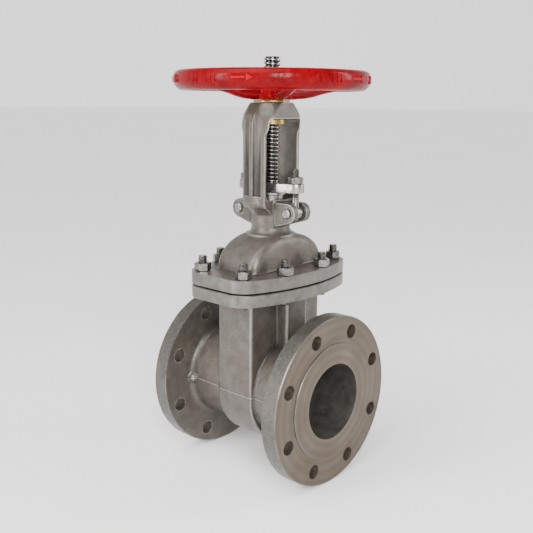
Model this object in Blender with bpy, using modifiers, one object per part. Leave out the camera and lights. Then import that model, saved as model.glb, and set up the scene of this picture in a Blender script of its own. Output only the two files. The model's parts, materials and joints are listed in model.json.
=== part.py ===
"""Flanged wedge gate valve, DN 100, with an outside screw and yoke, shown closed.

Metres, +Z up. The origin is the centre of the port: X is the pipe's axis, Z the stem's axis.
"""

import math

import bmesh
import bpy
from mathutils import Matrix

CLEAR = 0.0003  # gap left between pieces that touch

# pipe ends: NPS 4 class 150
FACE_TO_FACE = 0.229
FLANGE_R = 0.1145
FLANGE_THICK = 0.024
RAISED_FACE_R = 0.0786
RAISED_FACE = 0.0016
BOLT_CIRCLE_R = 0.09525
BOLT_HOLE_R = 0.0095
BOLT_COUNT = 8
PORT_R = 0.051
NECK_R = 0.065
END_X = FACE_TO_FACE / 2
FLANGE_BACK_X = END_X - FLANGE_THICK

# flat gate box of the body, and the chamber inside it
BOX_HALF_X = 0.0303
BOX_HALF_Y = 0.0694
BOX_ARC_Z = -0.006
CHAMBER_HALF_X = 0.022
CHAMBER_HALF_Y = 0.0615
RIB_HALF_Y = 0.020
RIB_X = 0.050
GUIDE_HALF_X = 0.004
GUIDE_Y = 0.0573

# bonnet joint
BODY_TOP = 0.1494
BODY_FLANGE_THICK = 0.0163
BONNET_BOTTOM = 0.1513
BONNET_FLANGE_TOP = 0.1682
JOINT_MID_X = 0.073
JOINT_HALF_Y = 0.1084
JOINT_CORNER_R = 0.030
JOINT_CORNER_X = 0.0279
SIDES = (1, -1)
STUDS = [(i * x, j * y) for i in SIDES for j in SIDES for x, y in ((0.0595, 0.037), (0.037, 0.091))]
STUD_R = 0.006
STUD_HOLE_R = 0.007
STUD_LOW = 0.1290
STUD_HIGH = 0.188
JOINT_NUT = 0.019  # across flats
JOINT_NUT_HIGH = 0.0103

# gate: a wedge of 5 degrees a side, with seat rings to match
WEDGE_R = 0.060
WEDGE_HALF = 0.015
TAPER = math.tan(math.radians(5))
SEAT_R = 0.0565
SEAT_BACK_X = 0.0273
HUB_TOP = 0.080
SLOT_LOW = 0.061
SLOT_HIGH = 0.0697

# bonnet above its flange
DOME_HALF_X = 0.036
DOME_HALF_Y = 0.070
DOME_TOP = 0.213
DOME_SPRING = 0.168
DOME_EDGE = 0.012
NECK_TOP = 0.259
STUFFING_R = 0.0175
STUFFING_FLOOR = 0.218
BUSH_R = 0.0152
RING_HEIGHT = 0.0063
RING_COUNT = 5

# yoke
YOKE_R = 0.0395
ARM_HALF_X = 0.0195
WINDOW_HALF_Y = 0.030
WINDOW_TOP = 0.363
CAP_TOP = 0.384
CAP_HALF_X = 0.027

# gland and its eyebolts
EYE_X = 0.043
EYE_Z = 0.243
EYE_R = 0.0095
EYE_HALF_Y = 0.0068
EAR_R = 0.013
EAR_HALF_Y = 0.017
PIN_R = 0.0041
EYEBOLT_R = 0.005
EYEBOLT_TOP = 0.300
GLAND_LOW = 0.269
GLAND_HIGH = 0.281
GLAND_NUT = 0.017  # across flats
GLAND_NUT_HIGH = 0.0085

# stem and what turns it
STEM_R = 0.011
STEM_TOP = 0.442
NUT_BORE_R = 0.0113
JOURNAL_R = 0.0148
COLLAR_R = 0.019
STEM_NUT_LOW = 0.356
STEM_NUT_TOP = 0.4205
WHEEL_LOW = 0.3873
WHEEL_HUB_TOP = 0.407
WHEEL_R = 0.1285
RIM_LOW = 0.3985
RIM_HIGH = 0.424
RIM_WIDTH = 0.021
HUB_R = 0.026
SPOKES = 5
FIRST_SPOKE = math.radians(42.4)
KEY_HALF = 0.0025

CAST = ("cast_stainless", (0.33, 0.31, 0.28), 0.8, 0.5)
STEEL = ("bright_steel", (0.62, 0.61, 0.58), 1.0, 0.25)
BRASS = ("brass", (0.62, 0.46, 0.18), 1.0, 0.35)
RED = ("red_paint", (0.62, 0.02, 0.03), 0.0, 0.3)
GRAPHITE = ("graphite", (0.05, 0.05, 0.05), 0.0, 0.7)


# Helpers

def clear_scene():
    for obj in list(bpy.data.objects):
        bpy.data.objects.remove(obj)


def collection(name):
    made = bpy.data.collections.new(name)
    bpy.context.scene.collection.children.link(made)
    return made


def material(finish):
    name, colour, metallic, roughness = finish
    if name not in bpy.data.materials:
        made = bpy.data.materials.new(name)
        made.use_nodes = True
        shader = made.node_tree.nodes["Principled BSDF"]
        shader.inputs["Base Color"].default_value = (*colour, 1)
        shader.inputs["Metallic"].default_value = metallic
        shader.inputs["Roughness"].default_value = roughness
        made.diffuse_color = (*colour, 1)
    return bpy.data.materials[name]


def add(name, mesh, finish=None):
    """A part if it has a finish, or else a tool that cuts or joins."""
    obj = bpy.data.objects.new(name, mesh)
    if finish:
        PARTS.objects.link(obj)
        mesh.materials.append(material(finish))
    else:
        TOOLS.objects.link(obj)
        obj.hide_render = True
        obj.display_type = "WIRE"
    return obj


def from_bmesh(name, made, finish=None):
    mesh = bpy.data.meshes.new(name)
    made.to_mesh(mesh)
    made.free()
    return add(name, mesh, finish)


def box(name, low, high, finish=None):
    made = bmesh.new()
    bmesh.ops.create_cube(made, size=1)
    size = [b - a for a, b in zip(low, high)]
    middle = [(a + b) / 2 for a, b in zip(low, high)]
    bmesh.ops.scale(made, vec=size, verts=made.verts)
    bmesh.ops.translate(made, vec=middle, verts=made.verts)
    return from_bmesh(name, made, finish)


TO_AXIS = {
    "X": Matrix.Rotation(math.pi / 2, 4, "Y"),
    "Y": Matrix.Rotation(-math.pi / 2, 4, "X"),
    "Z": Matrix.Identity(4),
}


def rods(name, radius, low, high, axis="Z", centres=((0, 0, 0),), finish=None, steps=20):
    """Cylinders from low to high along an axis, one at each centre. A tool's flats lie at its radius."""
    made = bmesh.new()
    if finish is None:
        radius /= math.cos(math.pi / steps)
    raised = Matrix.Translation((0, 0, (low + high) / 2))
    for centre in centres:
        bmesh.ops.create_cone(
            made, cap_ends=True, segments=steps, radius1=radius, radius2=radius,
            depth=high - low, matrix=Matrix.Translation(centre) @ TO_AXIS[axis] @ raised
        )
    return from_bmesh(name, made, finish)


def turned(name, profile, finish=None, axis="Z", steps=28):
    """Turns a profile of (radius, height) points, listed down its outer side, round an axis."""
    closed = profile[0][0] > 0
    mesh = bpy.data.meshes.new(name)
    edges = [(i, i + 1) for i in range(len(profile) - 1)]
    if closed:
        edges.append((len(profile) - 1, 0))
    mesh.from_pydata([(r, 0, z) for r, z in profile], edges, [])
    obj = add(name, mesh, finish)
    obj.matrix_world = TO_AXIS[axis]
    screw = obj.modifiers.new("turn", "SCREW")
    screw.steps = screw.render_steps = steps
    screw.use_merge_vertices = True
    screw.merge_threshold = 0.00001
    screw.use_smooth_shade = False
    return obj


PLANES = {
    "XY": Matrix.Identity(4),
    "XZ": Matrix(((1, 0, 0, 0), (0, 0, -1, 0), (0, 1, 0, 0), (0, 0, 0, 1))),
    "YZ": Matrix(((0, 0, 1, 0), (1, 0, 0, 0), (0, 1, 0, 0), (0, 0, 0, 1))),
}


def slab(name, outlines, low, high, plane="XY", finish=None):
    """Flat outlines in a plane, the inner ones as holes, filled and given thickness from low to high."""
    curve = bpy.data.curves.new(name, "CURVE")
    curve.dimensions = "2D"
    curve.fill_mode = "BOTH"
    curve.extrude = (high - low) / 2
    for outline in outlines:
        spline = curve.splines.new("POLY")
        spline.points.add(len(outline) - 1)
        for point, (u, v) in zip(spline.points, outline):
            point.co = (u, v, 0, 1)
        spline.use_cyclic_u = True
    guide = add(name + "_outline", curve)
    bpy.context.view_layer.update()
    mesh = bpy.data.meshes.new_from_object(guide.evaluated_get(bpy.context.evaluated_depsgraph_get()))
    bpy.data.objects.remove(guide)
    made = bmesh.new()
    made.from_mesh(mesh)
    bmesh.ops.remove_doubles(made, verts=made.verts, dist=0.00001)
    bmesh.ops.translate(made, vec=(0, 0, (low + high) / 2), verts=made.verts)
    bmesh.ops.transform(made, matrix=PLANES[plane], verts=made.verts)
    bmesh.ops.recalc_face_normals(made, faces=made.faces)
    return from_bmesh(name, made, finish)


def boolean(obj, tool, operation):
    modifier = obj.modifiers.new(tool.name, "BOOLEAN")
    modifier.operation = operation
    modifier.solver = "EXACT"
    modifier.object = tool


def join(obj, *tools):
    for tool in tools:
        boolean(obj, tool, "UNION")


def cut(obj, *tools):
    for tool in tools:
        boolean(obj, tool, "DIFFERENCE")


def keep(obj, tool):
    boolean(obj, tool, "INTERSECT")


def arc(centre_u, centre_v, radius, start, end, steps):
    """Points of an arc, angles in degrees, both ends included."""
    angles = [math.radians(start + (end - start) * i / steps) for i in range(steps + 1)]
    return [(centre_u + radius * math.cos(a), centre_v + radius * math.sin(a)) for a in angles]


def arch(half, centre, top):
    """A U: a half circle at the bottom with straight sides up to the top."""
    return [(half, top), (-half, top)] + arc(0, centre, half, 180, 360, 18)


def joint_outline(middle_x, half_y, corner_r, corner_x, steps=4):
    """The bonnet joint's outline: flat ends, round corners, and long sides that bulge as one arc each."""
    corner_y = half_y - corner_r
    spare = middle_x - corner_r
    back = (corner_x ** 2 + corner_y ** 2 - spare ** 2) / (2 * (spare - corner_x))
    side_r = middle_x + back
    lean = math.degrees(math.atan2(corner_y, corner_x + back))
    side = arc(-back, 0, side_r, -lean, lean, 8)
    corner = arc(corner_x, corner_y, corner_r, lean, 90, steps)[1:]
    half = side + corner
    other = [(-u, -v) for u, v in half]
    low_corner = [(-u, v) for u, v in reversed(corner)]
    return half + low_corner + other + [(-u, -v) for u, v in low_corner]


def dome(name, half_x, half_y, low, top, edge, fullness):
    """An arch across Y over straight sides, kept flat in X, with its two rims rounded off."""
    steps = 16
    angles = [math.pi * i / steps for i in range(steps + 1)]
    outline = [(-half_y, low), (half_y, low)]
    for angle in angles:
        across = abs(math.cos(angle)) ** (2 / fullness) * math.copysign(1, math.cos(angle))
        rise = abs(math.sin(angle)) ** (2 / fullness)
        outline.append((half_y * across, DOME_SPRING + (top - DOME_SPRING) * rise))
    shape = slab(name, [outline], -half_x, half_x, "YZ")
    made = bmesh.new()
    made.from_mesh(shape.data)
    made.normal_update()
    rims = []
    for line in made.edges:
        flat = [abs(face.normal.x) > 0.99 for face in line.link_faces]
        if any(flat) and not all(flat) and max(v.co.z for v in line.verts) > low + 0.001:
            rims.append(line)
    bmesh.ops.bevel(
        made, geom=rims, offset=edge, segments=3, profile=0.5, affect="EDGES", material=-1
    )
    made.to_mesh(shape.data)
    made.free()
    return shape


def ring(inner, outer, low, high):
    return [(outer, high), (outer, low), (inner, low), (inner, high)]


def hex_nut(name, across_flats, bore, low, high, finish, centre=(0, 0), mesh_from=None):
    """A hexagon nut on a centre; a copy shares the mesh of an earlier one."""
    if mesh_from:
        obj = bpy.data.objects.new(name, mesh_from.data)
        PARTS.objects.link(obj)
    else:
        made = bmesh.new()
        bmesh.ops.create_cone(
            made, cap_ends=True, segments=6, radius1=across_flats / math.sqrt(3),
            radius2=across_flats / math.sqrt(3), depth=high - low
        )
        obj = from_bmesh(name, made, finish)
    obj.location = (*centre, (low + high) / 2)
    hole = rods(name + "_hole", bore, low - 0.002, high + 0.002, centres=((*centre, 0),), steps=12)
    cut(obj, hole)
    return obj


# The pieces

def pipe_profile():
    """Both necks and pipe flanges as one solid, listed from +X to -X."""
    fillet = 0.014
    half = [(0, END_X), (RAISED_FACE_R, END_X), (RAISED_FACE_R, END_X - RAISED_FACE)]
    half += [(FLANGE_R, END_X - RAISED_FACE), (FLANGE_R, FLANGE_BACK_X)]
    half += [(r, x) for x, r in arc(FLANGE_BACK_X - fillet, NECK_R + fillet, fillet, 0, -90, 3)]
    return half + [(r, -x) for r, x in reversed(half)]


def bolt_circle(x):
    angles = [math.radians(22.5 + 360 / BOLT_COUNT * i) for i in range(BOLT_COUNT)]
    return [(x, BOLT_CIRCLE_R * math.cos(a), BOLT_CIRCLE_R * math.sin(a)) for a in angles]


def body():
    casting = slab("body", [arch(BOX_HALF_Y, BOX_ARC_Z, BODY_TOP)], -BOX_HALF_X, BOX_HALF_X, "YZ", CAST)
    outline = joint_outline(JOINT_MID_X, JOINT_HALF_Y, JOINT_CORNER_R, JOINT_CORNER_X)
    join(
        casting,
        turned("pipe_ends", pipe_profile(), axis="X", steps=48),
        box("side_ribs", (-RIB_X, -RIB_HALF_Y, 0.03), (RIB_X, RIB_HALF_Y, BODY_TOP - 0.005)),
        slab("top_flange", [outline], BODY_TOP - BODY_FLANGE_THICK, BODY_TOP),
    )
    hollow = arch(CHAMBER_HALF_Y, BOX_ARC_Z, BODY_TOP + 0.02)
    chamber = slab("chamber", [hollow], -CHAMBER_HALF_X, CHAMBER_HALF_X, "YZ")
    for side in (1, -1):
        low, high = sorted((side * GUIDE_Y, side * (CHAMBER_HALF_Y + 0.002)))
        guide = box("guide_space", (-GUIDE_HALF_X, low, -0.03), (GUIDE_HALF_X, high, BODY_TOP + 0.03))
        cut(chamber, guide)
    recess = SEAT_BACK_X + CLEAR
    studs = [(x, y, 0) for x, y in STUDS]
    cut(
        casting,
        chamber,
        rods("port", PORT_R, -0.12, 0.12, "X", steps=32),
        rods("seat_recess", SEAT_R + CLEAR, -recess, recess, "X", steps=32),
        rods("bolt_holes", BOLT_HOLE_R, -0.12, -0.08, "X", bolt_circle(0), steps=12),
        rods("more_bolt_holes", BOLT_HOLE_R, 0.08, 0.12, "X", bolt_circle(0), steps=12),
        rods("tapped_holes", STUD_R + CLEAR, 0.125, 0.155, centres=studs, steps=12),
    )


def seat_rings():
    for side, name in ((1, "seat_ring_front"), (-1, "seat_ring_back")):
        profile = ring(PORT_R, SEAT_R, 0.004, SEAT_BACK_X)
        if side < 0:
            profile = ring(PORT_R, SEAT_R, -SEAT_BACK_X, -0.004)
        seat = turned(name, profile, STEEL, "X", 32)
        reach = 0.08
        face = WEDGE_HALF + CLEAR
        inner = [(-side * 0.03, reach), (-side * 0.03, -reach)]
        inner += [(side * (face - reach * TAPER), -reach), (side * (face + reach * TAPER), reach)]
        cut(seat, slab(name + "_face", [inner], -reach, reach, "XZ"))


def wedge():
    gate = rods("wedge", WEDGE_R, -0.03, 0.03, "X", finish=CAST, steps=40)
    reach = 0.07
    corners = ((-1, -reach), (1, -reach), (1, reach), (-1, reach))
    sides = [(side * (WEDGE_HALF + z * TAPER), z) for side, z in corners]
    keep(gate, slab("wedge_taper", [sides], -reach, reach, "XZ"))
    join(gate, box("wedge_hub", (-0.014, -0.019, 0.048), (0.014, 0.019, HUB_TOP)))
    cut(
        gate,
        box("slot_head", (-0.04, -0.0135, SLOT_LOW), (0.04, 0.0135, SLOT_HIGH)),
        box("slot_neck", (-0.04, -0.0085, SLOT_LOW + 0.002), (0.04, 0.0085, HUB_TOP + 0.01)),
    )
    groove = GUIDE_HALF_X + 0.0006
    for side in (1, -1):
        low, high = sorted((side * (GUIDE_Y - 0.0006), side * 0.07))
        cut(gate, box("guide_groove", (-groove, low, -0.07), (groove, high, 0.07)))


def gasket():
    outer = joint_outline(0.052, 0.0815, 0.024, 0.018)
    inner = joint_outline(0.0375, 0.0700, 0.018, 0.014)
    slab("gasket", [outer, inner], BODY_TOP + CLEAR, BONNET_BOTTOM - CLEAR, "XY", GRAPHITE)


def yoke_profile():
    cap = [(0, CAP_TOP), (0.0275, CAP_TOP), (0.030, 0.381), (0.034, 0.375)]
    cap += [(0.0375, 0.368), (YOKE_R, 0.360)]
    return cap + [(YOKE_R, 0.252), (0.036, 0.246), (0.026, 0.238), (0, 0.238)]


def yoke():
    """A turned solid kept between two upright flats: the window, cut later, leaves its two arms."""
    shape = turned("yoke", yoke_profile())
    low, shoulder, wide, high = 0.23, 0.343, 0.357, 0.39
    flats = [(ARM_HALF_X, low), (ARM_HALF_X, shoulder), (CAP_HALF_X, wide), (CAP_HALF_X, high)]
    keep(shape, slab("yoke_flats", [flats + [(-u, v) for u, v in reversed(flats)]], -0.05, 0.05, "XZ"))
    return shape


def lug(side):
    top = EYE_Z + EAR_R
    foot_x = 0.024
    foot_z = 0.223
    outline = [(0, top)] + arc(EYE_X, EYE_Z, EAR_R, 90, -62, 10) + [(foot_x, foot_z), (0, foot_z)]
    return slab("lug", [[(side * u, v) for u, v in outline]], -EAR_HALF_Y, EAR_HALF_Y, "XZ")


def bonnet():
    outline = joint_outline(JOINT_MID_X, JOINT_HALF_Y, JOINT_CORNER_R, JOINT_CORNER_X)
    casting = slab("bonnet", [outline], BONNET_BOTTOM, BONNET_FLANGE_TOP, "XY", CAST)
    neck = [(0, NECK_TOP + 0.003), (0.0268, NECK_TOP + 0.003), (0.0268, 0.226), (0.0258, 0.221)]
    neck += [(0.0275, 0.2165), (0.0305, 0.2130), (0.0305, 0.2050), (0, 0.2050)]
    join(
        casting,
        dome("dome", DOME_HALF_X, DOME_HALF_Y, 0.158, DOME_TOP, DOME_EDGE, 2.2),
        turned("neck", neck),
        lug(1),
        lug(-1),
        yoke(),
    )
    slot_x = 0.031
    slot_half_y = EYE_HALF_Y + 0.0007
    eyes = ((EYE_X, 0, EYE_Z), (-EYE_X, 0, EYE_Z))
    studs = [(x, y, 0) for x, y in STUDS]
    cut(
        casting,
        dome("dome_inside", DOME_HALF_X - 0.009, DOME_HALF_Y - 0.009, 0.13, 0.2035, 0.006, 3.0),
        box("window", (-0.06, -WINDOW_HALF_Y, NECK_TOP), (0.06, WINDOW_HALF_Y, WINDOW_TOP)),
        rods("bush_bore", BUSH_R + CLEAR, 0.19, 0.22),
        rods("stuffing_box", STUFFING_R, STUFFING_FLOOR, 0.27),
        rods("cap_bore", JOURNAL_R + CLEAR, 0.35, 0.39),
        box("front_slot", (slot_x, -slot_half_y, 0.22), (0.07, slot_half_y, 0.27)),
        box("back_slot", (-0.07, -slot_half_y, 0.22), (-slot_x, slot_half_y, 0.27)),
        rods("pin_holes", PIN_R + CLEAR, -0.03, 0.03, "Y", eyes, steps=16),
        rods("bonnet_stud_holes", STUD_HOLE_R, 0.145, 0.175, centres=studs, steps=10),
    )


def joint_nut(name, centre, first):
    """Returns the nut whose mesh the next one shares."""
    low = BONNET_FLANGE_TOP + CLEAR
    bore = STUD_R + CLEAR
    made = hex_nut(name, JOINT_NUT, bore, low, low + JOINT_NUT_HIGH, STEEL, centre, first)
    return first or made


def joint_fasteners():
    """Eight studs, screwed through the body's flange, each with a nut on the bonnet's."""
    first = None
    nut = None
    for number, (x, y) in enumerate(STUDS, 1):
        if first is None:
            first = rods("stud_1", STUD_R, STUD_LOW, STUD_HIGH, finish=STEEL, steps=12)
            stud = first
        else:
            stud = bpy.data.objects.new(f"stud_{number}", first.data)
            PARTS.objects.link(stud)
        stud.location = (x, y, 0)
        nut = joint_nut(f"joint_nut_{number}", (x, y), nut)


def backseat_bush():
    seat_z = 0.199
    cone_r = 0.0158
    bore_r = 0.0114
    profile = [(BUSH_R, STUFFING_FLOOR - 0.0005), (BUSH_R, 0.2027), (0.0185, 0.2027), (0.0185, seat_z)]
    profile += [(cone_r, seat_z), (bore_r, seat_z + cone_r - bore_r), (bore_r, STUFFING_FLOOR - 0.0005)]
    turned("backseat_bush", profile, STEEL, steps=20)


def packing():
    for i in range(RING_COUNT):
        low = STUFFING_FLOOR + CLEAR + i * (RING_HEIGHT + CLEAR)
        profile = ring(STEM_R + CLEAR, STUFFING_R - CLEAR, low, low + RING_HEIGHT)
        turned(f"packing_ring_{i + 1}", profile, GRAPHITE, steps=20)


def gland():
    """The follower presses the packing, and the flange presses the follower's head."""
    nose_low = STUFFING_FLOOR + CLEAR + RING_COUNT * (RING_HEIGHT + CLEAR)
    head_low = NECK_TOP + 0.005
    head_high = GLAND_LOW - CLEAR
    bore_r = 0.0115
    profile = [(0.020, head_high), (0.020, head_low), (STUFFING_R - CLEAR, head_low)]
    profile += [(STUFFING_R - CLEAR, nose_low), (bore_r, nose_low), (bore_r, head_high)]
    turned("gland_follower", profile, STEEL, steps=24)
    end_r = 0.0115
    middle_r = 0.0205
    lean = math.degrees(math.acos((middle_r - end_r) / EYE_X))
    quarter = arc(EYE_X, 0, end_r, -lean, lean, 8) + arc(0, 0, middle_r, lean, 180 - lean, 4)
    outline = quarter + [(-u, -v) for u, v in quarter]
    plate = slab("gland_flange", [outline], GLAND_LOW, GLAND_HIGH, "XY", STEEL)
    bolts = ((EYE_X, 0, 0), (-EYE_X, 0, 0))
    hole_r = EYEBOLT_R + 0.0008
    cut(
        plate,
        rods("gland_bore", 0.0118, 0.26, 0.29),
        rods("gland_bolt_holes", hole_r, 0.26, 0.29, centres=bolts, steps=16),
    )


def eyebolts():
    for side, name in ((1, "front"), (-1, "back")):
        x = side * EYE_X
        centre = ((x, 0, EYE_Z),)
        bolt = rods("eyebolt_" + name, EYE_R, -EYE_HALF_Y, EYE_HALF_Y, "Y", centre, STEEL, 24)
        join(bolt, rods("shank", EYEBOLT_R, EYE_Z + 0.006, EYEBOLT_TOP, centres=((x, 0, 0),), steps=16))
        cut(bolt, rods("eye", PIN_R + CLEAR, -0.02, 0.02, "Y", centre, steps=16))
        head_y = EAR_HALF_Y + CLEAR
        pin = rods("eyebolt_pin_" + name, PIN_R, -head_y - 0.001, 0.0185, "Y", centre, STEEL, 16)
        join(pin, rods("pin_head", 0.0064, -head_y - 0.003, -head_y, "Y", centre, steps=24))
        low = GLAND_HIGH + CLEAR
        bore = EYEBOLT_R + CLEAR
        hex_nut("gland_nut_" + name, GLAND_NUT, bore, low, low + GLAND_NUT_HIGH, STEEL, (x, 0))


def stem():
    collar_low = 0.086
    collar_cone = 0.0943
    foot = 0.068
    profile = [(0, STEM_TOP), (0.0095, STEM_TOP), (STEM_R, STEM_TOP - 0.0015)]
    profile += [(STEM_R, collar_cone + 0.004), (0.015, collar_cone), (0.015, collar_low)]
    profile += [(0.008, collar_low), (0.008, foot), (0, foot)]
    spindle = turned("stem", profile, STEEL, steps=28)
    join(spindle, box("stem_head", (-0.012, -0.0131, SLOT_LOW + CLEAR), (0.012, 0.0131, SLOT_HIGH - CLEAR)))


def stem_nut():
    step = WHEEL_HUB_TOP - 0.0005
    profile = [(0.0135, STEM_NUT_TOP), (0.0135, step), (JOURNAL_R, step), (JOURNAL_R, WINDOW_TOP - CLEAR)]
    profile += [(COLLAR_R, WINDOW_TOP - CLEAR), (COLLAR_R, STEM_NUT_LOW), (NUT_BORE_R, STEM_NUT_LOW)]
    profile += [(NUT_BORE_R, STEM_NUT_TOP)]
    nut = turned("stem_nut", profile, BRASS, steps=28)
    cut(nut, box("nut_keyway", (0.0128, -KEY_HALF, 0.389), (0.02, KEY_HALF, WHEEL_HUB_TOP + 0.005)))
    washer_r = 0.024
    washer = ring(JOURNAL_R + CLEAR, washer_r, CAP_TOP + CLEAR, WHEEL_LOW - CLEAR)
    turned("thrust_washer", washer, BRASS, steps=28)
    side = KEY_HALF - CLEAR
    box("wheel_key", (0.0131, -side, 0.3893), (0.0172, side, WHEEL_HUB_TOP - 0.0001), STEEL)


def rim_profile():
    """A rounded section, fuller at the top than at the bottom, listed down its outer side."""
    depths = ((0.0050, 0), (0.0015, 0.0045), (0, 0.0105), (0.0007, 0.0160), (0.0040, 0.0220), (0.0105, 0.0255))
    outer = [(WHEEL_R - 0.0120, RIM_HIGH)]
    outer += [(WHEEL_R - inset, RIM_HIGH - down) for inset, down in depths]
    inner = WHEEL_R - RIM_WIDTH
    side = [(inner + 0.0055, RIM_LOW), (inner + 0.0015, RIM_LOW + 0.0035), (inner, RIM_LOW + 0.0095)]
    side += [(inner, RIM_HIGH - 0.0080), (inner + 0.0020, RIM_HIGH - 0.0025)]
    return outer + side + [(inner + 0.0055, RIM_HIGH)]


def spoke(number):
    """A bent arm from the hub up to the rim."""
    curve = bpy.data.curves.new("spoke", "CURVE")
    curve.dimensions = "3D"
    curve.bevel_depth = 0.0078
    curve.bevel_resolution = 2
    curve.use_fill_caps = True
    route = [(0.020, 0.3960), (0.040, 0.3962), (0.056, 0.3990)]
    route += [(0.072, 0.4036), (0.090, 0.4066), (0.117, 0.4090)]
    spline = curve.splines.new("POLY")
    spline.points.add(len(route) - 1)
    for point, (r, z) in zip(spline.points, route):
        point.co = (r, 0, z, 1)
    guide = add("spoke_route", curve)
    bpy.context.view_layer.update()
    mesh = bpy.data.meshes.new_from_object(guide.evaluated_get(bpy.context.evaluated_depsgraph_get()))
    bpy.data.objects.remove(guide)
    made = bmesh.new()
    made.from_mesh(mesh)
    bmesh.ops.remove_doubles(made, verts=made.verts, dist=0.00001)
    turn = Matrix.Rotation(FIRST_SPOKE + 2 * math.pi * number / SPOKES, 4, "Z")
    bmesh.ops.transform(made, matrix=turn, verts=made.verts)
    bmesh.ops.recalc_face_normals(made, faces=made.faces)
    return from_bmesh("spoke", made)


def handwheel():
    wheel = turned("handwheel", rim_profile(), RED, steps=48)
    hub = [(0, WHEEL_HUB_TOP), (0.024, WHEEL_HUB_TOP), (HUB_R, WHEEL_HUB_TOP - 0.002)]
    hub += [(HUB_R, WHEEL_LOW + 0.001), (HUB_R - 0.001, WHEEL_LOW), (0, WHEEL_LOW)]
    join(wheel, turned("wheel_hub", hub), *[spoke(i) for i in range(SPOKES)])
    cut(
        wheel,
        rods("wheel_bore", JOURNAL_R + CLEAR, 0.37, 0.42),
        box("wheel_keyway", (0.010, -KEY_HALF, 0.37), (0.0175, KEY_HALF, 0.42)),
    )
    bore = 0.0135 + CLEAR
    hex_nut("handwheel_nut", 0.036, bore, WHEEL_HUB_TOP + CLEAR, WHEEL_HUB_TOP + 0.0115, STEEL)


def smooth_round_pieces():
    for obj in PARTS.objects:
        if len(obj.data.polygons) > 12:
            obj.data.shade_smooth()
            obj.data.set_sharp_from_angle(angle=math.radians(35))


clear_scene()
PARTS = collection("gate_valve")
TOOLS = collection("cutters")
body()
seat_rings()
wedge()
gasket()
bonnet()
joint_fasteners()
backseat_bush()
packing()
gland()
eyebolts()
stem()
stem_nut()
handwheel()
smooth_round_pieces()
bpy.context.view_layer.update()
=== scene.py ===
# %% [markdown]
# # A flanged gate valve, cast and machined in Blender
# A gate valve shuts a pipeline with a wedge that slides down between two seats. This one has an outside
# screw and yoke: the handwheel turns a brass nut in the top of the yoke, and the stem climbs through it
# without turning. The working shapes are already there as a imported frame. Here each visible piece gets the
# surface that its trade would give it: sand casting, turning, thread cutting or enamel.

# %% Load the frame and keep its box
import json
import math

import bmesh
import bpy
from mathutils import Matrix, Vector

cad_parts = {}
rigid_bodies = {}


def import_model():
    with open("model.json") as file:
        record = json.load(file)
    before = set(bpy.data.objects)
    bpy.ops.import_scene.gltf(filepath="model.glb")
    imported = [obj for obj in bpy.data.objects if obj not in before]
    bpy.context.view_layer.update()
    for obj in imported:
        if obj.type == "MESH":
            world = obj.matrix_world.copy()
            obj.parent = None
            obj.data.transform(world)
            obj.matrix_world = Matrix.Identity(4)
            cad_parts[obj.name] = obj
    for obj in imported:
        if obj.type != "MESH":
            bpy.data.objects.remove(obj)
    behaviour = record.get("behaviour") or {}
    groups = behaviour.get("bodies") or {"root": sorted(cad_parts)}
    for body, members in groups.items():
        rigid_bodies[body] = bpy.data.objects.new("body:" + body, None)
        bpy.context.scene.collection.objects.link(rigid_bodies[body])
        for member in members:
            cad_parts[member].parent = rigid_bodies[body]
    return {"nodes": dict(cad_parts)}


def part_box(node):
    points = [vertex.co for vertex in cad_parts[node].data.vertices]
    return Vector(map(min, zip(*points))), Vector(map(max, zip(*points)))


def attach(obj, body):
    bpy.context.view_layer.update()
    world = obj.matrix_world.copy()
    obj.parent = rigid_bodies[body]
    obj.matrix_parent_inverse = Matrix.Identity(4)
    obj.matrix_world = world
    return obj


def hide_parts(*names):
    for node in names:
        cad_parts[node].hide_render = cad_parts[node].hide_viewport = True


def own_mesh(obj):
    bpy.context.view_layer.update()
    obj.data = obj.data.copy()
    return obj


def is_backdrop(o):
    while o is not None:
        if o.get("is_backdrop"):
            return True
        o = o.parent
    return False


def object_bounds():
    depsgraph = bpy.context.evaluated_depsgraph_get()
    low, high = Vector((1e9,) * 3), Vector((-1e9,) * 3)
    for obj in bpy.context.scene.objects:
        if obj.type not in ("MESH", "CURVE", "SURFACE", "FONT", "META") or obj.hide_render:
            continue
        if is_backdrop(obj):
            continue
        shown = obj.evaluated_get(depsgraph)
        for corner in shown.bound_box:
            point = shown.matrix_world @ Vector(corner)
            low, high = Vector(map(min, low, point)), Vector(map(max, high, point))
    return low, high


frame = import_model()
cad_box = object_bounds()

# %% [markdown]
# Every size below is read from the frame, so that a piece lands where the working model has it. A node's
# box gives its reach along each axis, and its middle gives its place.

# %% Measure the frame's nodes
MM = 0.001


def reach(node):
    low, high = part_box(node)
    return low, high, (low + high) / 2


body_low, body_high, _ = reach("body")
bonnet_low, bonnet_high, _ = reach("bonnet")
wheel_low, wheel_high, _ = reach("handwheel")
stem_low, stem_high, _ = reach("stem")
_, seat_high, _ = reach("seat_ring_front")
end_x = body_high.x
flange_r = body_high.y
joint_half_x, joint_half_y = bonnet_high.x, bonnet_high.y
print(f"face to face {2 * end_x / MM:.0f} mm, flange {2 * flange_r / MM:.0f} mm")

# %% [markdown]
# ## The shop's tools
# Three ways of making a solid come up again and again. Turning spins a profile round an axis, as a lathe
# does. A plate is an outline pulled up to a thickness, as a sawn or flame-cut plate is. A block is a cube
# with its upright corners rounded, as a pattern maker rounds them so that the sand comes away clean.

# %% Turning, plates and blocks
UP = Vector((0, 0, 1))
ALONG = {"X": Matrix.Rotation(math.pi / 2, 4, "Y"), "Y": Matrix.Rotation(-math.pi / 2, 4, "X"), "Z": Matrix()}
STAND_XZ = Matrix.Rotation(math.pi / 2, 4, "X")
STAND_YZ = Matrix(((0, 0, 1, 0), (1, 0, 0, 0), (0, 1, 0, 0), (0, 0, 0, 1)))
SIDES = (1, -1)


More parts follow.
